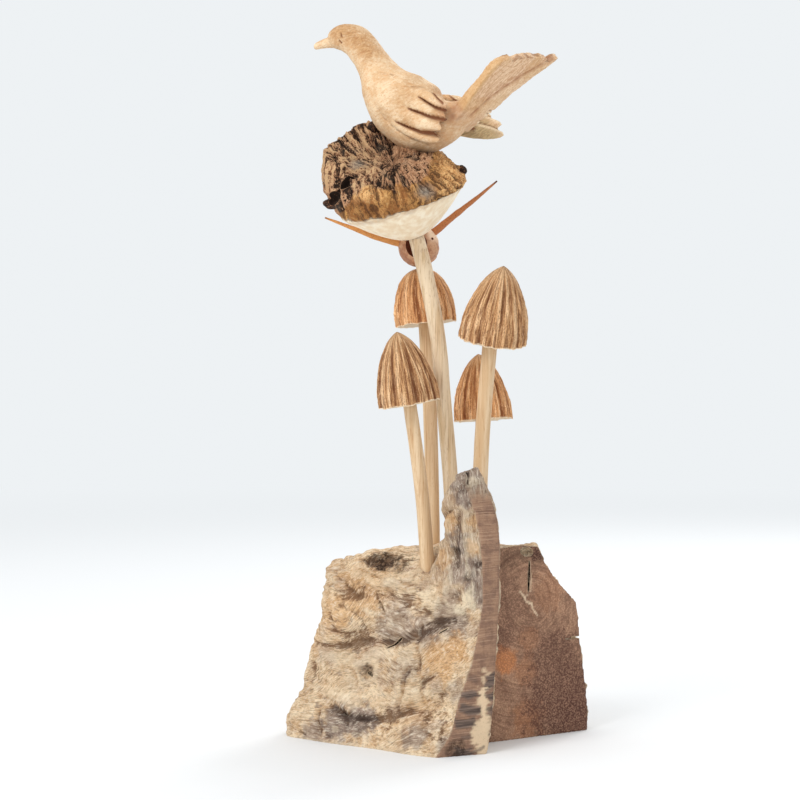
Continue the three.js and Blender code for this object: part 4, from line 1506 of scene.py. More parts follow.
@dataclass(frozen=True)
class BurlCap:
    """Burl rosette over a pale carved underside, in its own leaning frame from the stem joint up."""

    joint: Triple = (-9.9, 1.8, 208.2)
    lean_left: float = 17.4
    lean_forward: float = 14.7
    neck: float = 4.1
    rim: Pair = (26, 14.5)
    top: float = 35
    edge_mean: float = 32
    edge_right: float = -11.5
    edge_back: float = 8.5
    crest: Triple = (105, 20, 5.5)
    centre: Pair = (1, -12)
    bulge: float = 4.2
    ribs: int = 22
    cleft: Pair = (208, 6)
    underside_power: float = 1.38
    columns: int = 376
    under_rows: int = 24
    side_rows: int = 34
    top_rows: int = 70
    knobs: tuple[tuple[Triple, Triple], ...] = (
        ((-27, 12, 255), (2.8, 3.4, 2.8)), ((8.8, 1.6, 235.6), (3.0, 3.4, 2.4)),
        ((-43, -6, 221.2), (4.8, 3.4, 2.4)),
    )
    # Clefts cut into the burl, painted near-black as painted shadow.
    gaps: tuple[tuple[Triple, Triple, Triple], ...] = (
        ((-37.6, -21, 228), (3.6, 4, 1.7), (0, -48, -40)),
        ((-40.4, -15, 225.2), (4.4, 4.6, 2.4), (0, -44, -40)),
        ((-43.6, -11.4, 222.6), (3.6, 4, 2.2), (0, -40, -40)),
    )
    gold_edge: Line = ((-45, 212), (-38, 219), (-30, 225), (-12, 225), (-5, 231), (-2, 243), (2, 262))
    grey_patches: tuple[tuple[Triple, float], ...] = (
        ((-6, -26, 224), 4.4), ((-33, -14, 236), 4), ((-26, 2, 250), 4),
    )

    def frame(self) -> Matrix:
        """Place of the burl's own frame on the carving, in millimetres."""
        lean = Matrix.Rotation(math.radians(self.lean_forward), 4, "X") @ Matrix.Rotation(
            -math.radians(self.lean_left), 4, "Y")
        return Matrix.Translation(self.joint) @ lean

    def upper_edge(self, angle: float) -> float:
        """Height of the rosette's edge in a direction.

        Args:
            angle: direction in radians.

        Returns:
            The height in millimetres, in the burl's own frame.
        """
        direction, width = math.radians(self.crest[0]), math.radians(self.crest[1])
        level = self.edge_mean + self.edge_right * math.cos(angle) + self.edge_back * math.sin(angle)
        return level + self.crest[2] * hump(turn_between(angle, direction), width)

    def rib(self, angle: float, out: float) -> float:
        """How high the ribs stand, from 0 in a groove to 1 on a crest.

        Args:
            angle: direction round the burl.
            out: share of the way from the middle to the edge.

        Returns:
            The height.
        """
        unit = Vector((math.cos(angle), math.sin(angle), 0))
        wander = angle + 0.13 * math.sin(2 * angle + 1) + 0.07 * math.sin(5 * angle + 2)
        wander += 0.05 * lumps(Vector((3 * unit.x, 3 * unit.y, 5 * out)), 1, 3)
        wide = abs(math.sin(self.ribs * wander / 2)) ** 0.6
        narrow = abs(math.sin(1.5 * self.ribs * wander + 1.1 + 2 * unit.y))
        return hold(mix(wide, 0.62 * wide + 0.45 * narrow * wide, ease(out, 0.3, 0.7)))

    def shape(self) -> Mesh:
        """Mesh of the rosette with its marks, in its own frame."""
        rows = self.under_rows + self.side_rows + self.top_rows
        rim_radius, rim_height = self.rim
        world = self.frame()

        def ring(angle: float, radius: float, height: float) -> Vector:
            """Point on a ring about the axis of the burl."""
            return Vector((math.cos(angle) * radius, math.sin(angle) * radius, height))

        def cleft_at(angle: float) -> float:
            """Depth of the cleft in a direction."""
            return self.cleft[1] * hump(turn_between(angle, math.radians(self.cleft[0])), 0.13)

        def bark_marks(point: Vector, angle: float, reach: float, rib: float, share: float) -> Values:
            """Marks of the bark.

            Args:
                point: place in the burl's own frame, in millimetres.
                angle: direction in radians.
                reach: distance along the bark from the middle.
                rib: height of the rib, from 0 to 1.
                share: share of the way up the side.

            Returns:
                The marks, in the order of their names.
            """
            spot = world @ point
            ragged = spot.z + 2.4 * lumps(spot, 5, 2) + 1.1 * lumps(spot, 1.8, 4) - 2.2 * (rib - 0.5)
            front = ease(8 - spot.y, 0, 6)
            limit = mix(rim_height * 0.4 + 218, along(self.gold_edge, spot.x), front)
            gold = ease(limit - ragged, -0.8, 1.2)
            # Cream: left edge and right part; the finish paints highlights on the ridge tops there and lays a
            # lighter gold.
            cream = max(ease(-20 - spot.x, 0, 8) * ease(share, 0.45, 0.8), ease(spot.x, -6, 4))
            grey = max(hump((spot - Vector(middle)).length, reach) for middle, reach in self.grey_patches)
            flow = (math.cos(angle) * 26, math.sin(angle) * 26, reach)
            pale = (1 - ease(share + 0.1 * lumps(spot, 2.4, 5), 0.02, 0.11)) * 0.9
            return 1 - ease(rib, 0.3, 1.0), gold, pale, cream, hold(1.3 * grey - 0.25), *flow

        def wire(angle: float, reach: float, spot: Vector) -> float:
            """Height of the fine threads of the bark, from 0 to 1."""
            turn = angle + 0.06 * lumps(spot, 4, 13)
            return creases(Vector((math.cos(turn) * 26, math.sin(turn) * 26, reach / 4)), 1.7, 6)

        def side_out(angle: float, share: float, height: float) -> Pair:
            """Relief of the side.

            Args:
                angle: direction in radians.
                share: share of the way up the side.
                height: height of the side in millimetres.

            Returns:
                How far it stands out in millimetres, and its tone from 0 to 1.
            """
            unit = ring(angle, 1, 0)
            rib = self.rib(angle, 1.0)
            lobe = 1.6 * lumps(unit * 5.5 + Vector((0, 0, share)), 1, 11)
            fold = creases(Vector((unit.x * 26, unit.y * 26, share * 4)), 2.4, 5)
            knots = lumps(ring(angle, 26, height * share), 2.6, 6)
            strength = mix(0.4, 1.1, ease(-unit.x, -0.3, 0.6))
            out = 2.6 * strength * (rib - 0.65) * ease(share, 0.15, 0.7)
            out -= cleft_at(angle) * ease(share, 0, 0.35)
            out += (1.1 * lobe + 0.8 * (fold - 0.5) + 0.7 * knots) * ease(share, 0, 0.15)
            thread = wire(angle, 26 + height * share, ring(angle, 26, height * share))
            out += 0.6 * (thread - 0.5) * ease(share, 0.1, 0.3)
            return out, hold(mix(0.3 + 0.6 * fold, rib, ease(share, 0.35, 0.8)) + 0.35 * knots)

        def place(turn: float, way: float) -> Spot:
            """Place and marks of a point, from the stem joint over the edge to the middle of the top.

            Args:
                turn: share of a turn.
                way: share of the way down.

            Returns:
                The place and the marks.
            """
            row = round(way * rows)
            angle = turn * 2 * math.pi
            unit = ring(angle, 1, 0)
            low = 1 + 0.035 * lumps(unit * 3, 1, 7) + 0.02 * lumps(unit * 9, 1, 3)
            if row <= self.under_rows:
                share = max(0, row - 1) / (self.under_rows - 1)
                reach = mix(self.neck, rim_radius - 0.9, share * low) if row else 0.0
                point = ring(angle, reach, rim_height * (share * low) ** self.underside_power)
                point.z += 0.12 * lumps(point, 3, 4) * share
                pale = 1 - 0.35 * ease(share + 0.06 * lumps(point, 2.4, 5), 0.9, 1.0)
                return point, (0.3, 1.0, pale, 0.0, 0.0, unit.x * 26, unit.y * 26, reach)
            edge = self.upper_edge(angle)
            height = edge - rim_height
            if row <= self.under_rows + self.side_rows:
                share = (row - self.under_rows) / self.side_rows
                swell = self.bulge * height / 30 * math.sin(math.pi * share)
                out, tone = side_out(angle, share, height)
                radius = rim_radius - 0.9 * (1 - ease(share, 0, 0.06)) - 0.6 * share + swell + out
                start = rim_height * mix(low**self.underside_power, 1, ease(share, 0, 0.4))
                point = ring(angle, radius, start + height * share)
                return point, bark_marks(point, angle, 26 + height * share, tone, share)
            share = 1 - (row - self.under_rows - self.side_rows) / self.top_rows
            flat = ring(angle, (rim_radius - 0.6) * share, 0)
            flat.x += self.centre[0] * (1 - share)
            flat.y += self.centre[1] * (1 - share)
            out = min(1.0, math.hypot(flat.x, flat.y) / (rim_radius - 0.6))
            rib = self.rib(angle, share)
            worm = creases(flat + Vector((1.5 * lumps(flat, 4, 3), 1.5 * lumps(flat, 4, 4), 3 * rib)), 3.2, 8)
            ruffle = lumps(flat, 3.6, 9)
            thread = wire(angle, 26 * share, flat)
            top = self.top + (self.upper_edge(math.atan2(flat.y, flat.x)) - self.top) * out**2
            top += mix(1.2, 4.8, ease(share, 0.1, 0.8)) * (rib - 0.65)
            top += (2.0 * ruffle + 1.8 * (worm - 0.5) + 1.1 * (thread - 0.5)) * ease(share, 0.0, 0.3)
            top -= 0.7 * cleft_at(angle) * share**1.2
            grow, _ = side_out(angle, 1.0, height)
            point = flat + unit * (grow * ease(share, 0.78, 1.0))
            point.z = mix(top, edge, ease(share, 0.94, 1.0))
            tone = hold(0.6 * rib + 0.4 * (worm - 0.5) + 0.35 * ruffle + 0.4 * (thread - 0.5) + 0.2)
            return point, bark_marks(point, angle, 26 * share, tone, 1.0)

        marks = ("groove", "gold", "pale", "cream", "grey", "fx", "fy", "fz")
        return skin(self.columns, rows, place, marks)

    def build(self) -> Piece:
        """The rosette with its knobs, before the bird is joined to it."""
        burl = piece_of("burl", self.shape())
        set_down(burl, self.frame())
        gather_flow(burl)
        for middle, halves in self.knobs:
            knob = ball_at(middle, halves, mark=("groove", 0.7), columns=36, rows=24)
            for vert in knob.verts:
                point = vert.co / MM
                vert.co += (point - Vector(middle)).normalized() * (0.5 * lumps(point, 1.8, 3) * MM)
            join(burl, piece_of("knob", knob), Join.ADD)
        # The gaps carry the groove mark at 1, which the finish paints near-black as painted shadow in the
        # clefts.
        for middle, halves, turn in self.gaps:
            gap = ball_at(middle, halves, Euler([math.radians(v) for v in turn]), ("groove", 1.0), 32, 20)
            join(burl, piece_of("gap", gap), Join.CUT)
        return burl


@dataclass(frozen=True)
class BirdOnBurl:
    """Bird, burl and pale underside, carved from one piece of wood."""

    bird: Bird
    burl: BurlCap
    stem: Stem

    def build(self) -> Piece:
        """The finished carving."""
        carved = self.burl.build()
        bird = self.bird.build()
        for part, finish in ((carved, BurlBark()), (bird, BirdWood())):
            part.data.materials.clear()
            part.data.materials.append(finish.material())
        modifier = carved.modifiers.new("join", "BOOLEAN")
        modifier.operation = Join.ADD.value
        modifier.solver = "MANIFOLD"
        modifier.material_mode = "TRANSFER"
        modifier.object = bird
        settle(carved)
        bpy.data.objects.remove(bird)
        join(carved, piece_of("socket", self.stem.socket()), Join.CUT)
        carved.name = "bird_on_burl_cap_wood"
        dress(carved, (), 75)
        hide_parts("bird_on_burl_cap")
        return carved


@dataclass(frozen=True)
class Patch:
    """Soft-edged patch on the block, at a place on it."""

    middle: Vector
    reach: float
    amount: float = 1.0

    def at(self, point: Vector) -> float:
        """Strength of the patch at a point."""
        gap = (point - self.middle).length * (1 + 0.45 * lumps(point, 3.2, 4) + 0.3 * lumps(point, 1.4, 7))
        return self.amount * ease(self.reach - gap, -0.25 * self.reach, 0.3 * self.reach)


@dataclass(frozen=True)
class Stain:
    """Stain on the narrow sawn band, drawn on (x, height) and torn along the saw marks."""

    low: Pair
    high: Pair
    amount: float = 1.0

    def at(self, point: Vector) -> float:
        """Strength of the stain at a point.

        Args:
            point: place in millimetres.

        Returns:
            The strength, from 0 to the amount.
        """
        tear = 2.6 * noise.noise(Vector((point.x / 14, self.low[1], point.z / 1.2)))
        across = point.x + tear
        height = point.z + 1.6 * lumps(point, 4, self.low[0])
        inside = min(across - self.low[0], self.high[0] - across, height - self.low[1], self.high[1] - height)
        return self.amount * ease(inside, -0.4, 0.5)


def patches(*rows: Values) -> tuple[Patch, ...]:
    """Patches from rows of x, y, z, reach and, where it isn't 1, amount."""
    return tuple(Patch(Vector(row[:3]), *row[3:]) for row in rows)


def stains(*rows: Values) -> tuple[Stain, ...]:
    """Stains from rows of the low x and height, the high ones and, where it isn't 1, the amount."""
    return tuple(Stain(row[:2], row[2:4], *row[4:]) for row in rows)


@dataclass(frozen=True)
class Vein:
    """Thin line on the wide sawn face, drawn on (x, height)."""

    line: Line
    width: float
    amount: float = 1.0

    def at(self, point: Vector) -> float:
        """Strength of the line at a point."""
        gap, _ = line_distance(point.x + 0.5 * lumps(point, 2, 3), point.z, self.line)
        return self.amount * ease(self.width * (1 + 0.6 * lumps(point, 1.6, 5)) - gap, -0.2, 0.4)


def strongest(patches: Iterable[Patch | Stain | Vein], point: Vector) -> float:
    """Strength of the strongest patch at a point."""
    return max((patch.at(point) for patch in patches), default=0.0)


@dataclass(frozen=True)
class Slit:
    """Narrow crack in the block."""

    middle: Triple
    halves: Triple
    turn: Triple
    # Strength of the painted shade in the crack.
    darkness: float = 1.0

    def tool(self) -> Mesh:
        """Tool that cuts the crack and marks it for painted shade."""
        turn = Euler([math.radians(v) for v in self.turn])
        return ball_at(self.middle, self.halves, turn, ("dark", self.darkness), 28, 20)


@dataclass(frozen=True)
class RootBlock:
    """Block of root wood: natural skin, a spire, a narrow sawn band and a wide sawn face."""

    stems: tuple[Stem, ...]
    middle: Pair = (0, 4)
    plateau: float = 79.5
    band_start: Pair = (-1.6, -40)
    band_slope: float = 0.4
    face_start: Pair = (19.9, -9)
    face_slope: float = 0.6545
    saw_reach: float = 110
    face_share: float = 5 / 17
    left_depth: float = 8
    left_edge: Line = (
        (0, -63.9), (9, -63.4), (15, -60), (20, -56.6), (35, -54.2), (41, -52.2), (48, -49.6), (60, -48),
        (80, -47),
    )
    right_edge: Line = (
        (0, 63.9), (13, 63.4), (26, 62), (36, 60.4), (49, 59.5), (55, 58.6), (61, 53.1), (66, 48.8),
        (74, 43.9), (80, 41.3),
    )
    band_left: Line = ((0, -1.6), (9, 4.5), (21, 7.3), (36, 13), (61, 17.6), (80, 16.8))
    band_right: Line = (
        (0, 18.4), (14, 20.4), (45, 22.4), (61, 23.2), (83, 23.6), (93, 22.5), (102, 19.7), (110, 16.6),
        (118, 12.5),
    )
    back_edge: Line = ((0, 39.7), (16, 39.2), (40, 37.5), (62, 36), (80, 33))
    relief: tuple[Four, ...] = (
        (-32, 58, 17, 2.6), (-36, 41, 8, -2.6), (-17, 43, 7, -2.8), (0, 46, 7, -1.6), (-13, 31, 9, 2.8),
        (-29, 27, 6, -2.4), (-44, 27, 8, 1.6), (-40, 9, 12, 2.2), (-24, 18, 7, -2), (-12, 7, 10, 2.4),
        (1, 20, 7, -2.2), (6, 62, 8, 1.2),
    )
    normal: Pair = (-0.549, -0.836)
    top_relief: tuple[Four, ...] = ((-22, -5, 7, -3.4), (-2, 7, 6, 4.6), (-43, 11, 4, 3.2))
    spire_peak: Triple = (10.6, -30, 113.5)
    spire_foot: float = 52
    spire_left: Line = (
        (52, -9), (66, -5.5), (76, -1.8), (88, 1), (100, 0.8), (106, 3.4), (111, 6.6), (113.5, 10.6),
    )
    spire_band: Line = ((52, 17.4), (76, 16.9), (88, 15.8), (96, 14), (104, 11), (110, 8.6), (113.5, 10.6))
    spire_back: Line = ((52, -6), (70, -9), (78, -13), (90, -17), (104, -21), (113.5, -28))
    crack: Four = (39.7, 53.6, 1.9, 60)
    slits: tuple[Slit, ...] = (
        Slit((-18.4, -12.6, 41.4), (3.6, 5, 0.6), (0, -42, -33)),
        Slit((0.6, -23.6, 47.6), (2.4, 4.4, 0.35), (0, -36, -33), 0.8),
        Slit((37.5, 2.6, 67), (0.55, 3.4, 6.4), (0, 3, 33)),
        Slit((-28.6, -9, 28.2), (1.8, 3, 1.0), (0, 20, -33), 0.7),
        Slit((36.8, 1.6, 77.4), (3.4, 2.6, 1.9), (0, 8, 33), 0.5),
        Slit((-22.6, 2.6, 74.4), (3.2, 3, 1.5), (20, -10, -33), 0.8),
    )
    greys: tuple[Patch, ...] = patches(
        (-40.7, -7.7, 7.1, 8), (-32.4, -12.7, 9.3, 7), (-50.4, -2, 2, 6, 0.8), (-18.1, -12.5, 49, 9, 0.7),
        (3.9, -26.1, 52.4, 9, 0.75), (-6, -21, 47, 7, 0.7), (9.8, -29.6, 82.7, 5), (14.8, -32, 65.1, 6),
        (12.6, -30.7, 74, 5), (5.9, -27, 88.5, 4, 0.8), (-10.1, -31, 7, 6, 0.8), (2, -38, 5, 5, 0.7),
        (9.4, -39.4, 14.8, 4, 0.6), (-14, -19, 32, 6, 0.5), (9, -35, 102, 5), (11, -33, 110, 9, 0.95),
        (7.4, -29, 72, 5, 0.8), (5.7, -33.6, 25.7, 4, 0.5), (8, -30, 78, 4, 0.8), (4, -26, 62, 4, 0.6),
        (52, 12, 14.2, 19, 0.5), (58, 15.9, 4, 15, 0.65), (49, 10, 31.6, 13, 0.4), (25, -5.6, 56, 13, 0.25),
        (25, -5.6, 44, 9, 0.3), (40.2, 4.3, 76.6, 4, 0.6),
    )
    whites: tuple[Patch, ...] = patches(
        (11, -29.3, 60.8, 3.4, 0.7), (8, -28, 57, 2.6, 0.6), (15.1, -44.4, 9.9, 5, 0.6),
        (-36.7, -5.8, 21.2, 5, 0.35), (-4, -20, 59.7, 5, 0.4), (12, -34, 108, 2.4, 0.4),
    )
    dark_stains: tuple[Stain, ...] = stains(
        (6, 22.4, 14.6, 25.4), (6.5, 16.6, 15.6, 20.4), (6, 11, 13.8, 14.4), (18, 26.4, 22, 31.5),
        (17.6, 20.6, 22, 24.6), (18.6, 15.4, 22, 18.8, 0.8), (5, -1, 12.4, 3.4), (13, 1.2, 17, 3, 0.7),
        (7, 6.6, 11, 8.6, 0.7), (19, 6, 22, 8.4, 0.6), (8, 29, 14, 31, 0.5),
    )
    pale_stains: tuple[Stain, ...] = stains(
        (15.4, 9, 18.6, 27, 0.9), (12.4, 4, 19.6, 13.6, 0.85), (14, -1, 20, 6, 0.85),
        (14, 20, 18.6, 22.6, 0.8), (18.4, 9, 21.6, 14.6, 0.6), (16.6, 27, 18.4, 34, 0.6),
    )
    veins: tuple[Vein, ...] = (
        Vein(((33.8, 61), (35.4, 58.6), (36.2, 56.8), (38.6, 55.6), (39.4, 53), (41.2, 50.6)), 0.45, 0.9),
        Vein(((35.4, 58.6), (37.4, 59.8)), 0.3, 0.7), Vein(((38, 73), (38.4, 66), (38.2, 60.6)), 0.3, 0.6),
    )
    golds: tuple[Patch, ...] = patches(
        (-0.1, -26.2, 36.5, 7, 0.6), (5.8, -29.2, 40.9, 6, 0.65), (2, -27, 33, 5, 0.6),
        (-45.4, 6.8, 74.7, 4, 0.4), (-30, -2, 62, 12, 0.5), (12, -34, 92, 3, 0.5), (-42, 3, 52, 9, 0.35),
        (-8, -24, 14, 8, 0.35), (12.6, -32, 82, 3, 0.6), (3, -28, 92, 4, 0.6), (1, -24, 76, 4, 0.5),
    )
    rusts: tuple[Patch, ...] = patches(
        (27.3, -4, 33.1, 6, 0.8), (36, 1.6, 28, 6, 0.25), (38, 2.8, 40.6, 5, 0.2), (36.6, 2, 8, 8, 0.3),
        (46, 8, 60, 8, 0.15),
    )
    # Patches of painted shade in and round the pits, hollows and cracks.
    darks: tuple[Patch, ...] = patches(
        (30, -2, 80, 9, 0.3), (40, 6, 79, 8, 0.3), (-22.3, 2.8, 73.8, 6, 0.75), (-27.8, 8.8, 75, 4.4, 0.6),
        (-16, -1.4, 72.2, 4, 0.5), (-15, -6, 76, 4, 0.4), (-29.6, -9.6, 29.6, 2.8, 0.6),
        (-14.2, -20, 27.4, 2, 0.4), (36.7, 2, 76.8, 4.4, 0.4), (6, -36, 2.4, 4.4, 0.6),
        (14, -31, 97, 2, 0.3), (6.5, -28, 80, 2.2, 0.5), (10.4, -30, 70, 2, 0.5),
    )
    pits: tuple[tuple[Triple, float, float], ...] = (
        ((-22.3, 3.2, 73.8), 5, 3.6), ((-28, 8.6, 75), 3.6, 2.2), ((-16, -1.4, 72.4), 3, 1.4),
        ((-29.6, -9.8, 29.4), 2.4, 1.6), ((-6, -19, 77), 4, 1.4), ((-40, -4, 14), 6, 1.6),
        ((-20, -18, 12), 5, 1.4), ((7, -36, 5), 4, 2), ((36.7, 2, 76.8), 3.6, 1.6),
        ((7.5, -27, 78), 2.6, 1.8), ((11, -29.5, 68), 2.4, 1.4), ((-2, -22, 66), 3.4, 1.2),
    )
    folds: tuple[tuple[Line, float, float], ...] = (
        (((-58.2, 39.4), (-41, 38.4), (-30, 41), (-18.1, 41.6), (-8, 45), (-0.1, 50.2), (11.7, 55)),
         2.0, -1.7),
        (((-56, 35), (-41, 34), (-28, 36), (-16, 37.6), (-4, 42)), 3.2, 1.5),
        (((-50, 22), (-44, 19.4), (-30, 17), (-18, 20), (-8, 22.6), (2, 21)), 3.4, 1.9),
        (((-48, 15), (-36, 11.4), (-22, 12.6), (-12, 16), (-2, 15)), 2.2, -1.7),
        (((-4, 52), (-9, 58), (-20, 61), (-34, 59), (-46, 62)), 2.8, -1.3),
        (((-38, 70), (-26, 66), (-14, 67), (-4, 71)), 2.6, 1.4),
        (((-3, 5), (-6, 12), (-1, 20), (3, 27)), 2.4, -1.0),
        (((6, 58), (8, 68), (5.5, 78), (7, 88), (8, 98)), 1.5, -1.0),
        (((10.6, 56), (12.4, 66), (11, 76), (10.4, 88), (10.4, 100)), 1.6, 1.3),
        (((2.4, 60), (4.2, 72), (2.8, 84), (4.6, 96)), 1.6, 1.0),
    )
    pith: Pair = (38.4, 56.3)
    quad: float = 0.72

    def band_depth(self, across: float) -> float:
        """Depth of the narrow sawn band's plane."""
        return self.band_start[1] + self.band_slope * (across - self.band_start[0])

    def face_depth(self, across: float) -> float:
        """Depth of the wide sawn face's plane."""
        return self.face_start[1] + self.face_slope * (across - self.face_start[0])

    def outline(self, height: float) -> Curve:
        """Natural outline of the root at a height, running on past the sawn faces.

        Args:
            height: height in millimetres.

        Returns:
            The outline, seen from above.
        """
        left, right = along(self.left_edge, height), along(self.right_edge, height)
        band, back = along(self.band_left, height), along(self.back_edge, height)

        def face_at(share: float, out: float) -> Pair:
            """Point of the natural face, at a share of the way across."""
            depth = mix(self.left_depth, self.band_depth(band), share)
            return mix(left, band, share) - 0.6 * out, depth - 0.8 * out

        points = (
            (left, self.left_depth), face_at(0.2, 2), face_at(0.45, 0.8), face_at(0.7, 0.4),
            face_at(0.9, 0.3),
            (band, self.band_depth(band)), (band + 9, self.band_depth(band) - 2), (36, -30), (right + 5, -8),
            (right + 1.2, self.face_depth(right) - 6), (right, self.face_depth(right)), (right - 3, 29),
            (right - 17, back - 4), (20, back), (-12, back - 0.6), (left + 26, back - 4), (left + 10, 25),
        )
        return Curve(tuple(Vector((x, y, 0)) for x, y in points), closed=True)

    def top_at(self, x: float, y: float) -> float:
        """Height of the block's top at a plan point, without the spire.

        Args:
            x: place across, in millimetres.
            y: depth, in millimetres.

        Returns:
            The height in millimetres.
        """
        inward = -(x + 47) * self.normal[0] - (y - 8) * self.normal[1]
        top = self.plateau - 8.5 * (1 - ease(inward, 1, 16)) * ease(x, -50, -24)
        top -= 1.8 * ease(-x, -4, 12) + max(0.0, -27 - x) * 0.38 + 3.5 * ease(y, 20, 36)
        top += 0.8 * math.sin(x * 0.21 + 1) * math.cos(y * 0.17)
        for across, deep, reach, rise in self.top_relief:
            top += rise * hump(math.hypot(x - across, y - deep), reach)
        shoulder = sorted((across, height) for height, across in self.right_edge if height > 48)
        return min(top, along(shoulder, x))

    def lump(self) -> Mesh:
        """The root before it is sawn."""
        columns, side_rows, top_rows = 210, 64, 30
        rows = 1 + side_rows + top_rows
        edges: dict[float, Curve] = {}

        def side(turn: float, height: float) -> Vector:
            """Point of the side, with its large relief.

            Args:
                turn: share of a turn.
                height: height in millimetres.

            Returns:
                The point.
            """
            key = round(height, 1)
            if key not in edges:
                edges[key] = self.outline(key)
            plan = edges[key].at(turn)
            plan.z = height
            if turn > self.face_share:
                return plan
            out = sum(rise * hump(math.hypot(plan.x - across, height - level), reach)
                      for across, level, reach, rise in self.relief)
            out *= ease(turn, 0, 0.04) * (1 - ease(turn, self.face_share - 0.06, self.face_share))
            return plan + Vector((self.normal[0] * out, self.normal[1] * out, 0))

        def place(turn: float, way: float) -> Spot:
            """Place of a point of the root, from the middle of its underside to the middle of its top.

            Args:
                turn: share of a turn.
                way: share of the way from the underside to the top.

            Returns:
                The place, with no marks.
            """
            row = round(way * rows)
            if row == 0:
                return Vector((*self.middle, 0)), ()
            brink = side(turn, 70)
            rim = self.top_at(brink.x * 0.97, brink.y * 0.97) - 1.5
            if row <= side_rows + 1:
                return side(turn, rim * (row - 1) / side_rows), ()
            inward = 1 - ((row - side_rows - 1) / top_rows) ** 1.1
            plan = side(turn, rim)
            x, y = mix(self.middle[0], plan.x, inward), mix(self.middle[1], plan.y, inward)
            return Vector((x, y, self.top_at(x, y) - 1.5 * ease(inward, 0.93, 1.0))), ()

        return skin(columns, rows, place)

    def spire(self) -> Mesh:
        """The spire before it is sawn."""
        columns, rows = 80, 70

        def place(turn: float, way: float) -> Spot:
            """Place of a point of the spire, from its foot to its peak.

            Args:
                turn: share of a turn.
                way: share of the way from the foot to the peak.

            Returns:
                The place, with no marks.
            """
            rise = hold((way * rows - 1) / (rows - 1))
            height = mix(self.spire_foot, self.spire_peak[2], math.sin(rise * math.pi / 2))
            if way == 1:
                return Vector(self.spire_peak), ()
            left, band = along(self.spire_left, height), along(self.spire_band, height)
            right, back = along(self.band_right, height), along(self.spire_back, height)
            if way == 0:
                return Vector(((left + right) / 2, (back + self.band_depth(band)) / 2, height)), ()
            points = (
                (left, back - 8), (mix(left, band, 0.45), mix(back - 8, self.band_depth(band), 0.62) - 0.8),
                (band, self.band_depth(band)), (band + 5, self.band_depth(band) - 3),
                (right + 3, self.band_depth(right) - 3), (right + 2, back - 6), (right - 2.5, back - 0.6),
                ((left + right) / 2, back), (left + 2.2, back - 2.6),
            )
            plan = Curve(tuple(Vector((x, y, 0)) for x, y in points), closed=True).at(turn)
            return Vector((plan.x, plan.y, height)), ()

        return skin(columns, rows, place)

    def behind_saw(self) -> Mesh:
        """Everything behind the two sawn faces."""
        levels = [-5.0, *(height for height, _ in self.band_right), self.saw_reach + 20]
        rows = len(levels) + 1

        def place(turn: float, way: float) -> Spot:
            """Place of a point of the space behind the saw.

            Args:
                turn: share of a turn.
                way: share of the way from the lowest level to the highest.

            Returns:
                The place, with no marks.
            """
            height = levels[min(max(round(way * rows) - 1, 0), len(levels) - 1)]
            if way in (0, 1):
                return Vector((*self.middle, height)), ()
            edge = along(self.band_right, height)
            corners = (
                (-self.saw_reach, self.band_depth(-self.saw_reach)), (edge, self.band_depth(edge)),
                (edge + 1.2, self.face_depth(edge + 1.2)), (self.saw_reach, self.face_depth(self.saw_reach)),
                (self.saw_reach, self.saw_reach), (-self.saw_reach, self.saw_reach),
            )
            x, y = corners[round(turn * 6) % 6]
            return Vector((x, y, height)), ()

        return skin(6, rows, place)

    def crack_tool(self) -> Mesh:
        """Wedge that opens the crack in the right-hand edge."""
        height, tip, mouth, reach = self.crack
        wedge = bmesh.new()
        far = self.right_edge[0][1] + 8
        corners = [(tip, 0, height), (far, 0, height + mouth), (far, 0, height - 0.6 * mouth)]
        face = wedge.faces.new([wedge.verts.new(Vector(c) * MM) for c in corners])
        moved = bmesh.ops.extrude_face_region(wedge, geom=[face])["geom"]
        tops = [item for item in moved if isinstance(item, bmesh.types.BMVert)]
        bmesh.ops.translate(wedge, vec=(0, reach * MM, 0), verts=tops)
        bmesh.ops.recalc_face_normals(wedge, faces=wedge.faces)
        return wedge

    def sawn(self, point: Vector) -> Pair:
        """How far a point is on the sawn band and on the sawn face, each from 0 to 1.

        Args:
            point: place in millimetres.

        Returns:
            The shares on the band and on the face, each from 0 to 1.
        """
        edge = along(self.band_right, point.z)
        band_gap = abs(point.y - self.band_depth(point.x)) / math.hypot(1, self.band_slope)
        face_gap = abs(point.y - self.face_depth(point.x)) / math.hypot(1, self.face_slope)
        slack = 0.75 + 0.9 * hump(point.x - edge - 0.4, 1.2)
        band = ease(slack - band_gap, 0, 0.5) * ease(edge + 0.75 - point.x, 0, 0.5)
        band *= 1 - ease(point.z + 5 * lumps(point, 5, 4), 99, 109)
        face = ease(slack - face_gap, 0, 0.5) * ease(point.x - edge - 0.25, 0, 0.5)
        return band, face

    def on_band(self, point: Vector, stains: Sequence[Stain]) -> float:
        """Strength of the stains of the sawn band at a point."""
        band = self.sawn(point)[0]
        return band * strongest(stains, point) if band else 0.0

    def upright(self, point: Vector) -> float:
        """How far the fibres stand upright, from 0 on the block to 1 on the spire."""
        return ease(point.z + 0.6 * point.x + 3 * lumps(point, 9, 2), 56, 74) * ease(-4 - point.y, 0, 10)

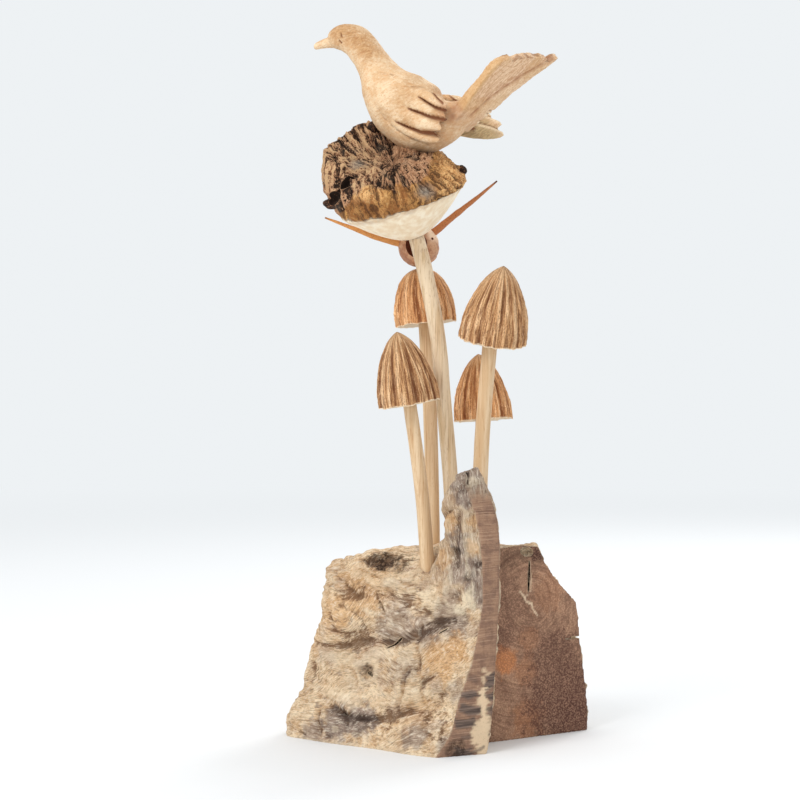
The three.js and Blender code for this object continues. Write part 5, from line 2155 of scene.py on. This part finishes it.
    def weather(self, point: Vector, out: Vector) -> float:
        """How far the natural skin stands out or lies back there, in millimetres.

        Args:
            point: place in millimetres.
            out: direction outwards.

        Returns:
            The height in millimetres.
        """
        push = Vector((lumps(point, 17, 1), lumps(point, 17, 2), lumps(point, 14, 3)))
        pushed = point + 5 * push
        level = noise.noise(Vector((pushed.x / 8, pushed.y / 8, pushed.z / 2)))
        stood = noise.noise(Vector((pushed.x / 1.7, pushed.y / 1.7, pushed.z / 11)))
        move = 0.8 * mix(level, stood, self.upright(point))
        move += 1.1 * lumps(point, 8, 5) + 0.6 * lumps(point, 2.6, 6)
        move += 0.9 * lumps(point, 3.4, 12) * ease(point.x, 38, 48)
        split = creases(pushed, 13, 9)
        move -= 1.7 * split**6 * ease(lumps(point, 15, 7), -0.2, 0.3)
        if out.y < -0.15:
            knot = math.hypot((point.x + 14.1) * 1.25, point.z - 32.1)
            move += 0.4 * math.sin(knot * 2.1) * ease(7.5 - knot, 0, 3)
            move += 1.1 * hump(math.hypot(point.x + 29.6, point.z - 29.4) - 4, 1.3)
            for line, reach, rise in self.folds:
                gap, share = line_distance(point.x + 1.2 * push.x, point.z + 1.2 * push.z, line)
                if gap < 2.5 * reach:
                    ends = ease(share, 0, 0.12) * (1 - ease(share, 0.85, 1))
                    crisp = min(rise, 0) * 0.6 * hump(gap + 0.5 * lumps(point, 2, 5), 0.9)
                    crisp *= ease(reach, 1.7, 2) * ease(lumps(point, 6, 3), -0.3, 0.2)
                    move += (rise * hump(gap, reach) + crisp) * ends
        for middle, reach, fall in self.pits:
            gap = (point - Vector(middle)).length
            if gap < 2.5 * reach:
                move -= fall * hump(gap * (1 + 0.3 * lumps(point, 3, 8)), reach)
        return move

    def wild(self, point: Vector) -> float:
        """1 on the natural skin and 0 on a sawn face and the underside."""
        return (1 - max(self.sawn(point))) * ease(point.z, 0.3, 2.2)

    def move_at(self, point: Vector, out: Vector) -> Vector:
        """Move of a point to its weathered or sawn surface.

        Args:
            point: place in millimetres.
            out: direction outwards.

        Returns:
            The move in millimetres.
        """
        band, _ = self.sawn(point)
        chatter = 0.06 * math.sin(point.z * 4.4 + 0.7 * lumps(point, 7, 3)) * band
        return out * (self.wild(point) * (self.weather(point, out) - 0.2) + chatter)

    def marks_at(self, point: Vector, out: Vector) -> Values:
        """Strength of the marks at a point, with its place round the pith as distance and direction.

        Args:
            point: place in millimetres.
            out: direction outwards.

        Returns:
            The marks low, fx, fy, fz, upright, band, face, grey, white, gold, rust and dark.
        """
        band, face = self.sawn(point)
        away = math.hypot(1, self.face_slope) * (point.x - self.pith[0])
        rise = point.z - self.pith[1]
        radius = math.hypot(away, rise) + 1.6 * lumps(point, 11, 3)
        turn = math.atan2(rise, away)
        # Low: how far the skin lies back, which the finish paints as shade.
        low = hold(0.32 - 0.36 * self.weather(point, out), 0, 1.2) * self.wild(point)
        grey = max(strongest(self.greys, point) * (1 - band), self.on_band(point, self.dark_stains))
        veined = face * strongest(self.veins, point)
        white = max(strongest(self.whites, point), self.on_band(point, self.pale_stains), veined)
        flow = (radius, 14 * math.cos(turn), 14 * math.sin(turn))
        own = (strongest(marked, point) for marked in (self.golds, self.rusts, self.darks))
        return low, *flow, self.upright(point), band, face, grey, white, *own

    def build(self) -> Piece:
        """The finished block."""
        block = piece_of("root_block_wood", self.lump())
        join(block, piece_of("spire", self.spire()), Join.ADD)
        join(block, piece_of("saw", self.behind_saw()), Join.KEEP_INSIDE)
        even_out(block, self.quad, 1)
        names = ("low", "fx", "fy", "fz", "upright", "band", "face", "grey", "white", "gold", "rust", "dark")
        carve(block, self.move_at, names, self.marks_at)
        gather_flow(block)
        join(block, piece_of("crack", self.crack_tool()), Join.CUT)
        for slit in self.slits:
            join(block, piece_of("slit", slit.tool()), Join.CUT)
        for stem in self.stems:
            join(block, piece_of("socket", stem.socket()), Join.CUT)
        dress(block, [RootWood().material()], 60)
        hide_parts("root_block")
        return block


# Room


@dataclass(frozen=True)
class Studio:
    """Pale floor, soft light and the camera."""

    eye: Triple = (-16.1, -743, 140.4)
    lens: float = 80.685
    air: Four = (0.855, 0.885, 0.905, 1.0)
    fade: Pair = (0.25, 2.2)

    def floor(self) -> None:
        """Pale floor that runs out into the colour of the air."""
        disc = bmesh.new()
        bmesh.ops.create_circle(disc, cap_ends=True, segments=64, radius=30.0)
        floor = piece_of("floor", disc)
        s = Shade("pale_floor")
        s.close((0.84, 0.84, 0.84, 1), 0.8)
        away = s.node("VectorMath", "Value", {0: s.where}, operation="LENGTH")
        glow = s.node("Emission", 0, {"Color": self.air})
        both = s.node("MixShader", 0, {0: s.range(away, *self.fade), 1: s.shader.outputs[0], 2: glow})
        s.feed(s.tree.nodes["Material Output"].inputs["Surface"], both)
        floor.data.materials.append(s.material)

    def lamp(self, name: str, place: Triple, size: float, power: float) -> None:
        """Square soft lamp that looks at the carving.

        Args:
            name: its name.
            place: its place in metres.
            size: its side in metres.
            power: its power in watts.
        """
        data = bpy.data.lights.new(name, "AREA")
        data.size = size
        data.energy = power
        lamp = bpy.data.objects.new(name, data)
        lamp.location = place
        lamp.rotation_euler = (Vector((0, 0, 0.15)) - Vector(place)).to_track_quat("-Z", "Y").to_euler()
        bpy.context.scene.collection.objects.link(lamp)

    def camera(self) -> None:
        """Camera at the photograph's viewing angle."""
        data = bpy.data.cameras.new("camera")
        data.sensor_width = 36
        data.lens = self.lens
        data.clip_start = 0.01
        camera = bpy.data.objects.new("camera", data)
        camera.location = Vector(self.eye) * MM
        camera.rotation_euler = (math.radians(90), 0, 0)
        bpy.context.scene.collection.objects.link(camera)
        bpy.context.scene.camera = camera

    def build(self) -> None:
        """The room."""
        scene = bpy.context.scene
        scene.view_settings.view_transform = "Standard"
        world = bpy.data.worlds.new("air")
        world.use_nodes = True
        world.node_tree.nodes["Background"].inputs["Color"].default_value = self.air
        scene.world = world
        self.floor()
        self.lamp("key", (-0.8, -0.9, 1.05), 0.6, 9)
        self.lamp("rim", (0.7, 0.9, 0.9), 0.6, 6)
        self.lamp("fill", (-0.3, -1.3, 0.16), 0.8, 2.4)
        self.camera()


DOWEL = DowelWood("dowel_wood", tint(219, 191, 155), tint(203, 169, 129), tint(176, 130, 88), 0.7)
TALL_DOWEL = DowelWood("tall_dowel_wood", tint(224, 202, 171), tint(208, 179, 141), tint(156, 118, 84), 0.65)
FRONT_CAP = FlutedWood("front_cap_wood", tint(242, 200, 154), tint(202, 152, 104), tint(112, 66, 38))
REAR_CAP = FlutedWood("rear_cap_wood", tint(250, 202, 152), tint(220, 160, 106), tint(134, 78, 44))

TALL_STEM = Stem("tall_stem", (
    (70, 6.3, 3), (103, 5.1, 1.2), (119, 3.9, 0.3), (145, 1.5, -0.8), (160, 0.3, -1.2), (174, -1.7, -1.2),
    (189, -4.7, -0.6), (203, -8, 1), (214, -11.2, 2.6)), 3.1, 3.5, TALL_DOWEL)
FRONT_LEFT_STEM = Stem("front_left_stem", (
    (61, -4.1, -11.6), (73, -4.9, -12), (104, -7.4, -13), (146, -13.2, -14)), 3, 2.8, DOWEL)
REAR_LEFT_STEM = Stem("rear_left_stem", (
    (70, -1.9, 18), (103, -2.5, 18), (137, -3.4, 18), (179, -5.7, 18)), 3, 3, DOWEL)
FRONT_RIGHT_STEM = Stem("front_right_stem", (
    (68, 15.6, -3.4), (112, 17.1, -4.4), (132, 18.2, -5), (171, 21.5, -6.5)), 3.2, 3.1, DOWEL)
REAR_RIGHT_STEM = Stem("rear_right_stem", ((68, 18, 22.6), (100, 18.3, 23), (138, 19.3, 24)), 3, 3, DOWEL)
STEMS = (TALL_STEM, FRONT_LEFT_STEM, REAR_LEFT_STEM, FRONT_RIGHT_STEM, REAR_RIGHT_STEM)
FULL_TOP = ((0, 0), (0.03, 0.26), (0.12, 0.53), (0.28, 0.76), (0.5, 0.92), (0.8, 1), (1, 1))
CAPS = (
    FlutedCap("front_left_cap", (-12.3, -14, 139), 13.1, 29.6, -10, -4, 17, FRONT_LEFT_STEM, FRONT_CAP,
              scorch=0.9, scorch_at=-40),
    FlutedCap("rear_left_cap", (-5, 18, 172.6), 13.5, 24, -7, 1, 19, REAR_LEFT_STEM, REAR_CAP, FULL_TOP),
    FlutedCap("front_right_cap", (21.9, -6, 164.6), 14.5, 31.6, 8, -14, 20, FRONT_RIGHT_STEM, FRONT_CAP,
              scorch=0.45, scorch_at=-125),
    FlutedCap("rear_right_cap", (19.5, 24, 131.9), 12.9, 28.4, -4, 3, 18, REAR_RIGHT_STEM, REAR_CAP,
              scorch=0.7, scorch_at=-110),
)


def main() -> None:
    """Builds the room and the pieces in order, and reports each piece."""
    logging.basicConfig(level=logging.INFO, format="%(message)s")
    Studio().build()
    makers = (RootBlock(STEMS), *STEMS, *CAPS, ThornGall(), BirdOnBurl(Bird(), BurlCap(), TALL_STEM))
    for maker in makers:
        piece = maker.build()
        triangles = sum(len(face.vertices) - 2 for face in piece.data.polygons)
        LOG.info("%s: %d triangles", piece.name, triangles)


if __name__ == "__main__":
    main()
